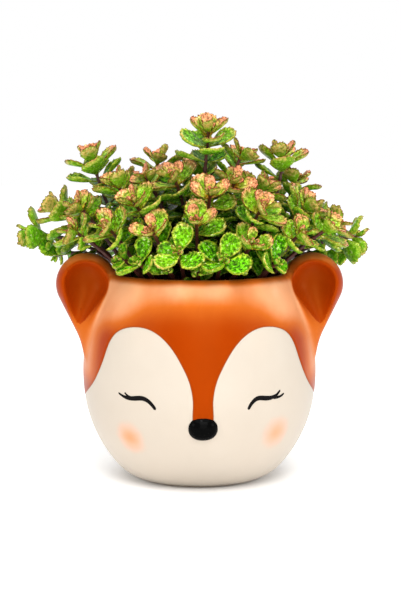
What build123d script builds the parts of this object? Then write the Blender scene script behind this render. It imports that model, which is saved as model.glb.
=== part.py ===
from build123d import *
import math
import os
import random

# A planter shaped as an animal's head, planted with stonecrop.
# Millimetres, +Z up, the face looks along -Y, and the origin is the middle of the foot ring's underside.

# Pot: a round slip-cast shell on a foot ring
pot_height = 115.5
belly_radius = 65.3
wall = 6.0
floor_thickness = 6.0
foot_recess_radius = 18.0
foot_recess_depth = 3.0
drain_hole_radius = 6.0
mouth_radius = 45.6
lip_radius = 2.2
# radius as a share of belly_radius, height as a share of pot_height, from the foot to the shoulder
side_shares = [
    (0.500, 0.0),
    (0.622, 0.030),
    (0.744, 0.094),
    (0.850, 0.182),
    (0.942, 0.299),
    (0.998, 0.472),
    (0.996, 0.595),
    (0.957, 0.732),
    (0.880, 0.861),
    (0.816, 0.965),
]
floor_edge_share = 0.53

# Muzzle: a ball that swells out of the front of the shell
muzzle_ball_radius = 32.0
muzzle_swell = 3.0
muzzle_height_share = 0.33

# Nose: a glazed bead that sits on the muzzle
nose_width = 16.0
nose_height = 13.0
nose_depth = 12.0
nose_sink = 1.5
nose_gap = 0.15
nose_height_share = 0.325

# Ears: flattened teardrops, point down, each hollowed by a smaller one
ear_radius = 17.3
ear_drop = 38.0
ear_half_depth = 13.5
ear_forward = 8.0
ear_lean_angle = 0.0
ear_nod_angle = -9.0
ear_reach_share = 0.962
ear_height_share = 0.952
scoop_radius = 12.3
scoop_drop = 30.0
scoop_half_depth = 13.0
scoop_lean_angle = -12.0
scoop_nod_angle = 8.0
scoop_aside = 0.6
scoop_rise = 1.5

# Drainage: net over the hole, one layer of clay balls, rubber stopper
net_radius = 14.0
net_thickness = 0.8
net_hole = 2.0
net_pitch = 3.2
net_border = 1.6
ball_radius = 5.8
ball_gap = 0.35
ball_layer_share = 0.95
stopper_gap = 0.06
stopper_head_radius = 10.0
stopper_head_thickness = 2.0
stopper_head_gap = 0.4
stopper_proud = 0.5

# Planting mix and root ball
fill_gap = 0.3
soil_depth_below_rim = 9.0
backfill_below_rim = 21.0
backfill_bed = 3.0
root_ball_gap = 1.4
root_ball_bevel = 5.0
root_ball_play = 0.5

# Shoots: the tips, as shares of the crown's half width, half depth (towards the back) and height over the soil
crown_half_width = 98.0
crown_half_depth = 75.0
crown_height = 97.0
tip_shares = [
    (0.045, -0.26, 0.91), (-0.61, 0.02, 0.755), (-0.24, 0.20, 0.74), (-0.82, 0.10, 0.46), (-0.97, 0.25, 0.30),
    (-0.47, -0.20, 0.61), (-0.15, -0.20, 0.65), (-0.03, -0.60, 0.41), (-0.27, -0.62, 0.36), (0.24, -0.03, 0.77),
    (0.19, -0.27, 0.62), (0.48, 0.07, 0.77), (0.56, 0.20, 0.62), (0.34, -0.48, 0.49), (0.60, -0.16, 0.49),
    (0.79, 0.05, 0.38), (0.92, 0.25, 0.28), (0.55, -0.44, 0.34), (0.71, -0.32, 0.36), (0.05, -0.44, 0.56),
    (-0.52, -0.46, 0.38), (-0.68, -0.16, 0.48), (-0.37, -0.38, 0.51), (-0.71, -0.31, 0.35), (-0.13, -0.64, 0.24),
    (-0.34, -0.56, 0.18), (0.11, -0.65, 0.20), (0.27, -0.57, 0.28), (0.41, -0.49, 0.17), (-0.02, -0.62, 0.13),
    (0.00, 0.42, 0.70), (-0.42, 0.38, 0.60), (0.40, 0.42, 0.56), (-0.70, 0.42, 0.40), (0.70, 0.44, 0.38),
    (-0.20, 0.72, 0.48), (0.22, 0.74, 0.46), (-0.52, 0.72, 0.30), (0.52, 0.72, 0.28), (0.00, 0.99, 0.26),
    (-0.30, 0.95, 0.20), (0.32, 0.93, 0.18), (-0.18, -0.58, 0.14), (0.20, -0.59, 0.14), (-0.43, -0.48, 0.20),
    (0.36, -0.14, 0.58), (-0.30, -0.10, 0.64), (0.02, 0.14, 0.68), (-0.83, 0.36, 0.17), (0.83, 0.37, 0.17),
]
low_root_share = 0.72
root_gather_share = 0.42
root_edge_gap = 4.0
widest_tip_angle = 80.0
front_nod_angle = 22.0
most_front_angle = 48.0
most_tip_angle = 78.0
most_start_angle = 38.0
shoot_twist_angle = 42.0
stem_width = 1.9
bud_height = 3.0

# Leaves: opposite pairs, each pair a quarter turn from the next, counted down from the tip
tip_gap = 1.2
pair_spacings = [0.0, 2.2, 3.0, 3.6, 4.2, 4.6, 4.8, 5.0, 5.2, 5.4, 5.6, 5.8, 6.0, 6.0, 6.0]
leaf_lengths = [9.5, 13.0, 15.5, 16.5, 16.5, 16.5, 16.5, 16.0, 15.5, 15.0, 14.5, 14.0, 13.5, 13.0, 12.5]
leaf_pitch_angles = [36.0, 50.0, 59.0, 65.0, 69.0, 72.0, 75.0, 77.0, 79.0, 81.0, 82.0, 83.0, 84.0, 84.0, 84.0]
leaf_thickness = 1.2
leaf_half_width_share = 0.40
leaf_widest_share = 0.62
leaf_seed = 11
leaf_tries = 24
leaf_skew_angle = 12.0
leaf_tilt_angle = 8.0
leaf_smallest_share = 0.45
grown_share = 0.25
grown_levels = 2
stem_free_height = 7.0

# Room that a leaf keeps
sample_step = 1.3
leaf_reach = 0.6
leaf_foot_length = 3.2
pair_allowance = 0.35
stem_reach = 1.2
sample_allowance = 0.75
rim_clearance = 1.9
soil_clearance = 1.2
ear_clearance = 2.0

# Sizes worked out from the ones above
floor_top = foot_recess_depth + floor_thickness
crest_radius = mouth_radius + lip_radius
soil_top = pot_height - soil_depth_below_rim
ball_layer_top = floor_top + net_thickness + ball_gap + 2 * ball_radius
root_ball_bottom = ball_layer_top + fill_gap + backfill_bed
root_ball_radius = mouth_radius - root_ball_gap
widest_root_radius = root_ball_radius - root_ball_bevel - root_edge_gap
nowhere = (0.0, 0.0, 0.0)
ear_centre = (ear_reach_share * belly_radius, -ear_forward, ear_height_share * pot_height)


def added(point, *steps):
    """The point moved by each (length, direction) pair in turn."""
    x, y, z = point
    for length, (dx, dy, dz) in steps:
        x += length * dx
        y += length * dy
        z += length * dz
    return (x, y, z)


def side_points():
    return [(radius * belly_radius, height * pot_height) for radius, height in side_shares]


def moved_in(points, distance):
    """The inner points of an outline of (radius, height) points, moved square to it towards the axis."""
    moved = []
    for before, point, after in zip(points, points[1:], points[2:]):
        run = after[0] - before[0]
        rise = after[1] - before[1]
        length = math.hypot(run, rise)
        moved.append((point[0] - distance * rise / length, point[1] + distance * run / length))
    return moved


def turned(edges):
    """The solid of revolution about Z of a closed outline of edges drawn as (radius, height)."""
    return revolve(Plane.XZ * Face(Wire(edges)), axis=Axis.Z)


def closed_lines(corners):
    return [Line(start, end) for start, end in zip(corners, corners[1:] + corners[:1])]


def outer_side():
    """The shell's outside, one curve from the foot to the shoulder and an arc over to the crest of the rim."""
    side = Spline(side_points())
    shoulder = TangentArc([side @ 1, (crest_radius, pot_height)], tangent=side % 1)
    return [side, shoulder]


def inner_side():
    """The cavity's wall as one curve from the floor to the mouth."""
    foot = (floor_edge_share * belly_radius, floor_top)
    mouth = (mouth_radius, pot_height - lip_radius)
    lowest = floor_top + wall
    highest = mouth[1] - lip_radius
    inside = [point for point in moved_in(side_points(), wall) if lowest < point[1] < highest]
    first_run = (inside[0][0] - foot[0], inside[0][1] - foot[1])
    return Spline([foot] + inside + [mouth], tangents=[first_run, (0, 1)])


def run_at(points, height):
    """The straight run of an outline of (radius, height) points that holds a height, and the radius there."""
    runs = [(low, high) for low, high in zip(points, points[1:]) if low[1] <= height <= high[1]]
    low, high = runs[0]
    part = (height - low[1]) / (high[1] - low[1])
    return low, high, low[0] + part * (high[0] - low[0])


def inside_front(height, depth):
    """Radius and height of the point that lies square below the shell's outside, from a height on it."""
    low, high, radius = run_at(side_points(), height)
    slope = math.atan2(high[0] - low[0], high[1] - low[1])
    return radius - depth * math.cos(slope), height + depth * math.sin(slope)


def make_head():
    """The outside of the shell and its muzzle, filled in."""
    foot_radius = side_points()[0][0]
    head = turned(outer_side() + [
        Line((crest_radius, pot_height), (0, pot_height)),
        Line((0, pot_height), (0, 0)),
        Line((0, 0), (foot_radius, 0)),
    ])
    front, height = inside_front(muzzle_height_share * pot_height, muzzle_ball_radius - muzzle_swell)
    return head + Pos(0, -front, height) * Sphere(muzzle_ball_radius)


def make_teardrop(radius, drop, half_depth):
    """A round body that tapers down to a point at drop below its centre, flattened front to back."""
    opening = math.acos(radius / drop)
    side = (radius * math.sin(opening), -radius * math.cos(opening))
    half_way = (math.pi + opening) / 2
    shoulder = (radius * math.sin(half_way), -radius * math.cos(half_way))
    edges = [
        Line((0, -drop), side),
        ThreePointArc(side, shoulder, (0, radius)),
        Line((0, radius), (0, -drop)),
    ]
    return scale(turned(edges), by=(1, half_depth / radius, 1))


def ear_place(lean, nod, forward=0.0, aside=0.0, rise=0.0):
    x, y, z = ear_centre
    return Pos(x + aside, y - forward, z + rise) * Rot(nod, lean, 0)


def make_cavity():
    """The room inside, with the mouth's rounded lip and the way straight up out of it."""
    lip_height = pot_height - lip_radius
    middle = lip_radius * math.sqrt(0.5)
    lip = ThreePointArc(
        (mouth_radius, lip_height),
        (crest_radius - middle, lip_height + middle),
        (crest_radius, pot_height),
    )
    above = pot_height + ear_drop
    edges = [
        inner_side(),
        lip,
        Line((crest_radius, pot_height), (crest_radius, above)),
        Line((crest_radius, above), (0, above)),
        Line((0, above), (0, floor_top)),
        Line((0, floor_top), (floor_edge_share * belly_radius, floor_top)),
    ]
    return turned(edges)


def make_pot(head):
    ear = ear_place(ear_lean_angle, ear_nod_angle) * make_teardrop(ear_radius, ear_drop, ear_half_depth)
    scoop_place = ear_place(scoop_lean_angle, scoop_nod_angle, ear_half_depth, scoop_aside, scoop_rise)
    scoop = scoop_place * make_teardrop(scoop_radius, scoop_drop, scoop_half_depth)
    pot = head + ear + mirror(ear, about=Plane.YZ)
    pot -= make_cavity()
    pot -= scoop
    pot -= mirror(scoop, about=Plane.YZ)
    recess = Pos(0, 0, foot_recess_depth / 2) * Cylinder(foot_recess_radius, foot_recess_depth)
    hole = Pos(0, 0, floor_top / 2) * Cylinder(drain_hole_radius, floor_top)
    return pot - recess - hole


def make_nose(head):
    """A bead whose back follows the muzzle, one glaze line off it."""
    front, height = inside_front(nose_height_share * pot_height, nose_sink - muzzle_swell)
    ball = scale(Sphere(nose_height / 2), by=(nose_width / nose_height, nose_depth / nose_height, 1))
    bead = Pos(0, -front, height) * ball - head
    return Pos(0, -nose_gap, 0) * bead


def make_drain_mesh():
    net = Circle(net_radius)
    reach = net_radius - net_border
    count = int(reach / net_pitch)
    places = []
    for row in range(-count, count + 1):
        for column in range(-count, count + 1):
            far_corner = math.hypot(abs(row) * net_pitch + net_hole / 2, abs(column) * net_pitch + net_hole / 2)
            if far_corner < reach:
                places.append(Location((row * net_pitch, column * net_pitch)))
    holes = [place * Rectangle(net_hole, net_hole) for place in places]
    return Pos(0, 0, floor_top) * extrude(net - holes, amount=net_thickness)


def make_gravel():
    """Clay balls in a close layer, as far out as the floor is wide at their own height."""
    pitch = 2 * ball_radius + ball_gap
    height = floor_top + net_thickness + ball_gap + ball_radius
    reach = ball_layer_share * floor_edge_share * belly_radius
    rows = int(reach / pitch) + 1
    balls = []
    for row in range(-rows, rows + 1):
        for column in range(-rows, rows + 1):
            x = pitch * (column + (row % 2) / 2)
            y = pitch * row * math.sqrt(0.75)
            if math.hypot(x, y) <= reach:
                balls.append(Pos(x, y, height) * Sphere(ball_radius))
    return Compound(children=balls)


def make_backfill():
    """Potting mix between the wall and the root ball, with a bed below it."""
    side = moved_in(side_points(), wall + fill_gap)
    low = ball_layer_top + fill_gap
    high = pot_height - backfill_below_rim
    outside = [(run_at(side, low)[2], low)]
    outside += [point for point in side if low < point[1] < high]
    outside += [(run_at(side, high)[2], high)]
    inner = root_ball_radius + root_ball_play
    corners = outside + [(inner, high), (inner, root_ball_bottom), (0, root_ball_bottom), (0, low)]
    return turned(closed_lines(corners))


def make_root_ball():
    shoulder = root_ball_radius - root_ball_bevel
    corners = [
        (0, root_ball_bottom),
        (shoulder, root_ball_bottom),
        (root_ball_radius, root_ball_bottom + root_ball_bevel),
        (root_ball_radius, soil_top - root_ball_bevel),
        (shoulder, soil_top),
        (0, soil_top),
    ]
    return turned(closed_lines(corners))


def make_drain_plug():
    shank_radius = drain_hole_radius - stopper_gap
    head_top = foot_recess_depth - stopper_head_gap
    head = Pos(0, 0, head_top - stopper_head_thickness / 2) * Cylinder(stopper_head_radius, stopper_head_thickness)
    shank_length = floor_top - stopper_proud - head_top
    shank = Pos(0, 0, head_top + shank_length / 2) * Cylinder(shank_radius, shank_length)
    return head + shank


def plan_stem(shares):
    """A shoot's centre line, one arc from the soil to the tip, and how many of the young leaf sizes it skips."""
    across, back, up = shares
    tip = (across * crown_half_width, back * crown_half_depth, soil_top + up * crown_height)
    tip_radius = math.hypot(tip[0], tip[1])
    root_radius = min((low_root_share - root_gather_share * up) * tip_radius, widest_root_radius)
    root = (tip[0] * root_radius / tip_radius, tip[1] * root_radius / tip_radius, soil_top)
    out = math.hypot(tip[0] - root[0], tip[1] - root[1])
    rise = tip[2] - root[2]
    lean = math.atan2(out, rise)
    nod, most = (front_nod_angle, most_front_angle) if back < 0 else (0.0, most_tip_angle)
    tip_lean = math.radians(min(widest_tip_angle * (1 - up) ** 2 + nod, most))
    start = min(2 * lean - tip_lean, math.radians(most_start_angle))
    turn = 2 * (lean - start)
    length = math.hypot(out, rise) * (turn / 2) / math.sin(turn / 2)
    away = ((tip[0] - root[0]) / out, (tip[1] - root[1]) / out, 0.0)
    skipped = grown_levels if up < grown_share else 0
    return {"root": root, "away": away, "start": start, "turn": turn, "length": length, "skipped": skipped}


def stem_frame(stem, along):
    """Where the stem is at a length along it, with its direction, its outward normal and its side."""
    start = stem["start"]
    lean = start + stem["turn"] * along / stem["length"]
    radius = stem["length"] / stem["turn"]
    out = radius * (math.cos(start) - math.cos(lean))
    rise = radius * (math.sin(lean) - math.sin(start))
    ax, ay, _ = stem["away"]
    up = (0.0, 0.0, 1.0)
    point = added(stem["root"], (out, stem["away"]), (rise, up))
    direction = added(nowhere, (math.sin(lean), stem["away"]), (math.cos(lean), up))
    normal = added(nowhere, (math.cos(lean), stem["away"]), (-math.sin(lean), up))
    return point, direction, normal, (-ay, ax, 0.0)


def plan_leaf(stem, pair, quarter, pitch, skew, length):
    """A leaf's frame: its foot on one of the stem's flats, the way it points, and its width's direction."""
    point, direction, normal, side = stem_frame(stem, pair["along"])
    turned_back = -1 if quarter >= 2 else 1
    if quarter % 2 == 0:
        out = added(nowhere, (turned_back, normal))
        across = added(nowhere, (turned_back, side))
    else:
        out = added(nowhere, (turned_back, side))
        across = added(nowhere, (-turned_back, normal))
    straight = added(nowhere, (math.cos(pitch), direction), (math.sin(pitch), out))
    points = added(nowhere, (math.cos(skew), straight), (math.sin(skew), across))
    width = added(nowhere, (-math.sin(skew), straight), (math.cos(skew), across))
    foot = added(point, (stem_width / 2, out))
    lift = added(nowhere, (pair["thick"], direction))
    return {"quarter": quarter, "foot": foot, "points": points, "width": width, "lift": lift, "length": length}


def leaf_samples(leaf):
    """Points spread over the middle of a leaf's thickness, each with whether it belongs to the leaf's foot."""
    half_width = leaf_half_width_share * leaf["length"]
    widest = leaf_widest_share * leaf["length"]
    samples = []
    rows = int(leaf["length"] / sample_step)
    for row in range(1, rows + 1):
        along = row * leaf["length"] / rows
        if along < widest:
            reach = stem_width / 2 + (half_width - stem_width / 2) * along / widest
        else:
            reach = half_width * math.sqrt(max(0.0, 1 - ((along - widest) / (leaf["length"] - widest)) ** 2))
        columns = int(reach / sample_step) + 1
        for column in range(-columns, columns + 1):
            aside = column * reach / columns
            point = added(leaf["foot"], (along, leaf["points"]), (aside, leaf["width"]), (0.5, leaf["lift"]))
            samples.append((point, along < leaf_foot_length))
    return samples


def clear_of_pot(point):
    """Whether a leaf may pass through a point: clear of the rim and the soil, and not in or before an ear."""
    x, y, z = point
    if math.hypot(x, y) > mouth_radius - rim_clearance and z < pot_height + rim_clearance:
        return False
    if z < soil_top + soil_clearance:
        return False
    across = (abs(x) - ear_centre[0]) / (ear_radius + ear_clearance)
    deep = max(0.0, y - ear_centre[1]) / (ear_half_depth + ear_clearance)
    high = (z - ear_centre[2]) / (ear_radius + ear_clearance)
    return across * across + deep * deep + high * high > 1


def cell_of(point, size):
    return tuple(int(math.floor(value / size)) for value in point)


def plan_shoots():
    """Every stem with the leaves that it has room for, the top pairs of all shoots first."""
    chance = random.Random(leaf_seed)
    cell = 2 * stem_reach + sample_allowance
    taken = {}

    def take(point, reach, owner, is_foot):
        taken.setdefault(cell_of(point, cell), []).append((point, reach, owner, is_foot))

    def has_room(point, owner, is_foot):
        cx, cy, cz = cell_of(point, cell)
        for near in [(cx + i, cy + j, cz + k) for i in (-1, 0, 1) for j in (-1, 0, 1) for k in (-1, 0, 1)]:
            for other, reach, other_owner, other_is_foot in taken.get(near, []):
                room = leaf_reach + reach + sample_allowance
                if other_owner == owner:
                    if is_foot or other_is_foot:
                        continue
                    room = leaf_reach + reach + pair_allowance
                if math.dist(point, other) < room:
                    return False
        return True

    stems = [plan_stem(shares) for shares in tip_shares]
    for owner, stem in enumerate(stems):
        steps = int(stem["length"] / sample_step)
        for step in range(steps + 1):
            take(stem_frame(stem, stem["length"] * step / steps)[0], stem_reach, owner, True)
        stem["twist"] = chance.uniform(-shoot_twist_angle, shoot_twist_angle)
        stem["pairs"] = []
    for level in range(len(pair_spacings)):
        for owner, stem in enumerate(stems):
            along = stem["length"] - tip_gap - sum(pair_spacings[:level + 1])
            if along < stem_free_height:
                continue
            age = min(level + stem["skipped"], len(leaf_lengths) - 1)  # on a longer stem the lowest leaves are alike
            length = leaf_lengths[age]
            pitch = leaf_pitch_angles[age]
            thick = leaf_thickness / math.sin(math.radians(pitch))
            pair = {"along": along, "thick": thick, "leaves": []}
            stem["pairs"].append(pair)
            for quarter in (level % 2, level % 2 + 2):
                for attempt in range(leaf_tries):
                    skew = math.radians(stem["twist"] + chance.uniform(-leaf_skew_angle, leaf_skew_angle))
                    tilt = math.radians(pitch + chance.uniform(-leaf_tilt_angle, leaf_tilt_angle))
                    size = length * (1 - (1 - leaf_smallest_share) * attempt / leaf_tries)
                    leaf = plan_leaf(stem, pair, quarter, tilt, skew, size)
                    samples = leaf_samples(leaf)
                    if all(clear_of_pot(point) and has_room(point, owner, is_foot) for point, is_foot in samples):
                        pair["leaves"].append(leaf)
                        for point, is_foot in samples:
                            take(point, leaf_reach, owner, is_foot)
                        break
    return stems


def flat_face(*points):
    return Face(Wire.make_polygon([Vector(*point) for point in points]))


def leaf_faces(leaf, start, end):
    """A leaf's two sides, its two straight edges and its round end, open between two corners of the stem."""
    half_width = leaf_half_width_share * leaf["length"]
    widest = leaf_widest_share * leaf["length"]
    start_side = added(leaf["foot"], (widest, leaf["points"]), (-half_width, leaf["width"]))
    end_side = added(leaf["foot"], (widest, leaf["points"]), (half_width, leaf["width"]))
    tip = added(leaf["foot"], (leaf["length"], leaf["points"]))
    round_end = Edge.make_three_point_arc(Vector(*start_side), Vector(*tip), Vector(*end_side))
    under = Face(Wire([
        Edge.make_line(Vector(*start), Vector(*start_side)),
        round_end,
        Edge.make_line(Vector(*end_side), Vector(*end)),
        Edge.make_line(Vector(*end), Vector(*start)),
    ]))
    lift = (1, leaf["lift"])
    return [
        under,
        under.moved(Location(Vector(*leaf["lift"]))),
        flat_face(start, start_side, added(start_side, lift), added(start, lift)),
        flat_face(end, end_side, added(end_side, lift), added(end, lift)),
        Face.extrude(round_end, Vector(*leaf["lift"])),
    ]


def square_ring(point, normal, side):
    """The four corners of a square stem, in the order of the flats that leaves grow from."""
    half = stem_width / 2
    turns = [(1, -1), (1, 1), (-1, 1), (-1, -1)]
    return [added(point, (half * out, normal), (half * aside, side)) for out, aside in turns]


def make_sprig(stem):
    """One shoot as a single closed shell: a square stem whose flats open into the leaves."""
    point, direction, normal, side = stem_frame(stem, 0.0)
    start = square_ring(point, normal, side)
    ring = [added(corner, ((soil_top - corner[2]) / direction[2], direction)) for corner in start]
    faces = [flat_face(*ring)]
    for pair in reversed(stem["pairs"]):
        point, direction, normal, side = stem_frame(stem, pair["along"])
        low = square_ring(point, normal, side)
        high = [added(corner, (pair["thick"], direction)) for corner in low]
        leaves = {leaf["quarter"]: leaf for leaf in pair["leaves"]}
        for flat in range(4):
            after = (flat + 1) % 4
            faces.append(flat_face(ring[flat], ring[after], low[after], low[flat]))
            if flat in leaves:
                faces += leaf_faces(leaves[flat], low[flat], low[after])
            else:
                faces.append(flat_face(low[flat], low[after], high[after], high[flat]))
        ring = high
    peak = added(point, (stem["pairs"][0]["thick"] + bud_height, direction))
    for flat in range(4):
        faces.append(flat_face(ring[flat], ring[(flat + 1) % 4], peak))
    return Solid(Shell(faces))


os.makedirs("parts", exist_ok=True)

head = make_head()
pieces = {
    "pot": make_pot(head),
    "nose": make_nose(head),
    "drain_plug": make_drain_plug(),
    "drain_mesh": make_drain_mesh(),
    "gravel": make_gravel(),
    "soil_backfill": make_backfill(),
    "root_ball": make_root_ball(),
}
shoots = plan_shoots()
for number, stem in enumerate(shoots, start=1):
    pieces[f"sprig_{number:02d}"] = make_sprig(stem)

for name, piece in pieces.items():
    export_step(piece, f"parts/{name}.step")

leaf_count = sum(len(pair["leaves"]) for stem in shoots for pair in stem["pairs"])
print("shoots", len(shoots), "leaves", leaf_count)
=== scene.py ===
import math
import random
import bpy
import numpy as np
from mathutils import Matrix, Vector


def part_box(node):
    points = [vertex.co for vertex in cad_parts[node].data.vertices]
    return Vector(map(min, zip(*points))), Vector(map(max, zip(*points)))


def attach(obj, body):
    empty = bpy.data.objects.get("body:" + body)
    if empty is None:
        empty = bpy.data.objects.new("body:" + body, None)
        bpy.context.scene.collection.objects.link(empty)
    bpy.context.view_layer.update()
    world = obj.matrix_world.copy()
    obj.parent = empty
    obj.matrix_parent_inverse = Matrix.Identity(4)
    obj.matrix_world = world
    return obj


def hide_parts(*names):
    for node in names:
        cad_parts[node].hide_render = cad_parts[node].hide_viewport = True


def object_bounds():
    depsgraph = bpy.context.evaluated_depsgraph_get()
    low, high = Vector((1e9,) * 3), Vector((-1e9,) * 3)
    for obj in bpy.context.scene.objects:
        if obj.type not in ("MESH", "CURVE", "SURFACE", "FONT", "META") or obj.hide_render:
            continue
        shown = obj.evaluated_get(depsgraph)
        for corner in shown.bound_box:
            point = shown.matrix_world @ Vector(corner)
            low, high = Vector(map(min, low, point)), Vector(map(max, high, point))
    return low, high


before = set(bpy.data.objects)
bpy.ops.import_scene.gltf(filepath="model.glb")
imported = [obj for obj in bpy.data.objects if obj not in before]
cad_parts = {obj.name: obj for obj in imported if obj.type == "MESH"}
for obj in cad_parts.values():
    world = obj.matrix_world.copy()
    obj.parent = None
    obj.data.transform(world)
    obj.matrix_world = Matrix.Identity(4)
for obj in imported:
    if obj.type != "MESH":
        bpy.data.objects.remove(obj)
cadLow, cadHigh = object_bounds()
print("frame loaded")

# Sizes here are millimetres, as on the drawing. Meshes go to metres when they are made.
mm = 0.001


# small helpers for meshes

def makePiece(name, points, faces, materials, body, slotName, nodes=(), smooth=True):
    mesh = bpy.data.meshes.new(name)
    faces = faces.tolist() if isinstance(faces, np.ndarray) else faces
    mesh.from_pydata((np.asarray(points, float) * mm).tolist(), [], faces)
    mesh.polygons.foreach_set("use_smooth", [smooth] * len(mesh.polygons))
    mesh.update()
    piece = bpy.data.objects.new(name, mesh)
    bpy.context.scene.collection.objects.link(piece)
    for material in materials:
        mesh.materials.append(material)
    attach(piece, body)
    if nodes:
        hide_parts(*nodes)
    return piece


def addNumbers(piece, name, values):
    attribute = piece.data.attributes.new(name, "FLOAT", "POINT")
    attribute.data.foreach_set("value", np.asarray(values, np.float32))


def latheFaces(rows, turns):  # quads of a grid that closes on itself round the axis
    quads = []
    for row in range(rows - 1):
        for turn in range(turns):
            here, after = row * turns + turn, row * turns + (turn + 1) % turns
            quads.append((here, after, after + turns, here + turns))
    return quads


def lathe(outline, turns):  # points of an outline of (radius, height) swung round the axis
    points = []
    for radius, height in outline:
        for turn in range(turns):
            angle = 2 * math.pi * turn / turns
            points.append((radius * math.cos(angle), radius * math.sin(angle), height))
    return np.array(points)


def naturalCurve(points, count):
    # a smooth line through the points, measured by the length of its chords
    points = np.asarray(points, float)
    steps = np.hypot(*np.diff(points, axis=0).T)
    along = np.concatenate([[0], np.cumsum(steps)])
    size = len(points)
    system = np.eye(size)
    right = np.zeros((size, 2))
    for i in range(1, size - 1):
        system[i, i - 1:i + 2] = steps[i - 1], 2 * (steps[i - 1] + steps[i]), steps[i]
        right[i] = 6 * ((points[i + 1] - points[i]) / steps[i] - (points[i] - points[i - 1]) / steps[i - 1])
    bend = np.linalg.solve(system, right)
    where = np.linspace(0, along[-1], count)
    at = np.clip(np.searchsorted(along, where) - 1, 0, size - 2)
    h = steps[at][:, None]
    ahead = (along[at + 1] - where)[:, None]
    past = (where - along[at])[:, None]
    curve = (bend[at] * ahead ** 3 + bend[at + 1] * past ** 3) / (6 * h)
    curve += (points[at] / h - bend[at] * h / 6) * ahead
    return curve + (points[at + 1] / h - bend[at + 1] * h / 6) * past


def arcPoints(centre, radius, first, last, count):
    # points on an arc from one angle to another, 0 is straight out and a quarter turn is up
    angles = np.linspace(first, last, count)
    return [(centre[0] + radius * math.cos(angle), centre[1] + radius * math.sin(angle)) for angle in angles]


def smoothShare(values, low, high):
    share = np.clip((values - low) / (high - low), 0, 1)
    return share * share * (3 - 2 * share)


def bell(values, width):
    return np.exp(-(values / width) ** 2)


def unit(vectors):
    return vectors / np.linalg.norm(vectors, axis=-1, keepdims=True)


# small helpers for materials

class Recipe:
    # writes one material's nodes line by line
    def __init__(self, name):
        self.material = bpy.data.materials.new(name)
        self.material.use_nodes = True
        self.tree = self.material.node_tree
        self.shader = self.tree.nodes["Principled BSDF"]
        self.place = self.add("ShaderNodeTexCoord").outputs["Object"]

    def add(self, kind, **settings):
        node = self.tree.nodes.new(kind)
        for setting, value in settings.items():
            setattr(node, setting, value)
        return node

    def feed(self, socket, value):
        if isinstance(value, bpy.types.NodeSocket):
            self.tree.links.new(value, socket)
        elif isinstance(value, tuple) and len(value) == 3 and socket.type == "RGBA":
            socket.default_value = (*value, 1.0)
        else:
            socket.default_value = value

    def set(self, **values):
        for name, value in values.items():
            self.feed(self.shader.inputs[name.replace("_", " ")], value)

    def noise(self, scale, detail=3.0, rough=0.5):
        node = self.add("ShaderNodeTexNoise")
        settings = {"Vector": self.place, "Scale": scale, "Detail": detail, "Roughness": rough}
        for name, value in settings.items():
            self.feed(node.inputs[name], value)
        return node.outputs["Fac"]

    def cells(self, scale):
        node = self.add("ShaderNodeTexVoronoi")
        self.feed(node.inputs["Vector"], self.place)
        self.feed(node.inputs["Scale"], scale)
        return node.outputs["Distance"]

    def number(self, name):
        return self.add("ShaderNodeAttribute", attribute_name=name).outputs["Fac"]

    def math(self, operation, first, second=0.0):
        node = self.add("ShaderNodeMath", operation=operation)
        self.feed(node.inputs[0], first)
        self.feed(node.inputs[1], second)
        return node.outputs[0]

    def plus(self, first, second):
        return self.math("ADD", first, second)

    def times(self, first, second):
        return self.math("MULTIPLY", first, second)

    def vectorMath(self, operation, first, second=(0.0, 0.0, 0.0), output="Vector"):
        node = self.add("ShaderNodeVectorMath", operation=operation)
        self.feed(node.inputs[0], first)
        self.feed(node.inputs[1], second)
        return node.outputs[output]

    def fade(self, value, low, high, start=0.0, end=1.0):
        # start below low, end above high, and smooth between them
        node = self.add("ShaderNodeMapRange", interpolation_type="SMOOTHSTEP")
        self.feed(node.inputs["Value"], value)
        for name, amount in (("From Min", low), ("From Max", high), ("To Min", start), ("To Max", end)):
            self.feed(node.inputs[name], amount)
        return node.outputs["Result"]

    def blendOf(self, share, first, second, kind="MIX"):
        node = self.add("ShaderNodeMix", data_type="RGBA", blend_type=kind)
        self.feed(node.inputs["Factor"], share)
        self.feed(node.inputs[6], first)
        self.feed(node.inputs[7], second)
        return node.outputs[2]

    def lay(self, share, tone):
        # lays one more tone over those before it
        self.tone = self.blendOf(share, self.tone, tone)

    def bump(self, height, depth, strength=1.0):
        node = self.add("ShaderNodeBump")
        self.feed(node.inputs["Height"], height)
        self.feed(node.inputs["Distance"], depth)
        self.feed(node.inputs["Strength"], strength)
        if self.shader.inputs["Normal"].is_linked:
            self.feed(node.inputs["Normal"], self.shader.inputs["Normal"].links[0].from_socket)
        self.feed(self.shader.inputs["Normal"], node.outputs["Normal"])


def plainRecipe(name, grain, dark, light, rough, gloss=0.5):
    # one grain that goes from a dark tone to a light one
    recipe = Recipe(name)
    tone = recipe.blendOf(recipe.noise(*grain), dark, light)
    recipe.set(Base_Color=tone, Roughness=rough, Specular_IOR_Level=gloss)
    return recipe


# camera, floor and lamps

shot = {"aim": (0.0006, 0.0, 0.0995), "distance": 1.0, "azimuth": -1.7, "elevation": 6.0, "lens": 106.7}

camera = bpy.data.objects.new("camera", bpy.data.cameras.new("camera"))
bpy.context.scene.collection.objects.link(camera)
azimuth, elevation = math.radians(shot["azimuth"]), math.radians(shot["elevation"])
towardsCamera = Vector((
    math.sin(azimuth) * math.cos(elevation),
    -math.cos(azimuth) * math.cos(elevation),
    math.sin(elevation),
))
camera.location = Vector(shot["aim"]) + towardsCamera * shot["distance"]
camera.rotation_euler = towardsCamera.to_track_quat("Z", "Y").to_euler()
camera.data.lens = shot["lens"]
camera.data.clip_start, camera.data.clip_end = 0.05, 30
bpy.context.scene.camera = camera
bpy.context.scene.view_settings.view_transform = "Standard"

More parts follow.
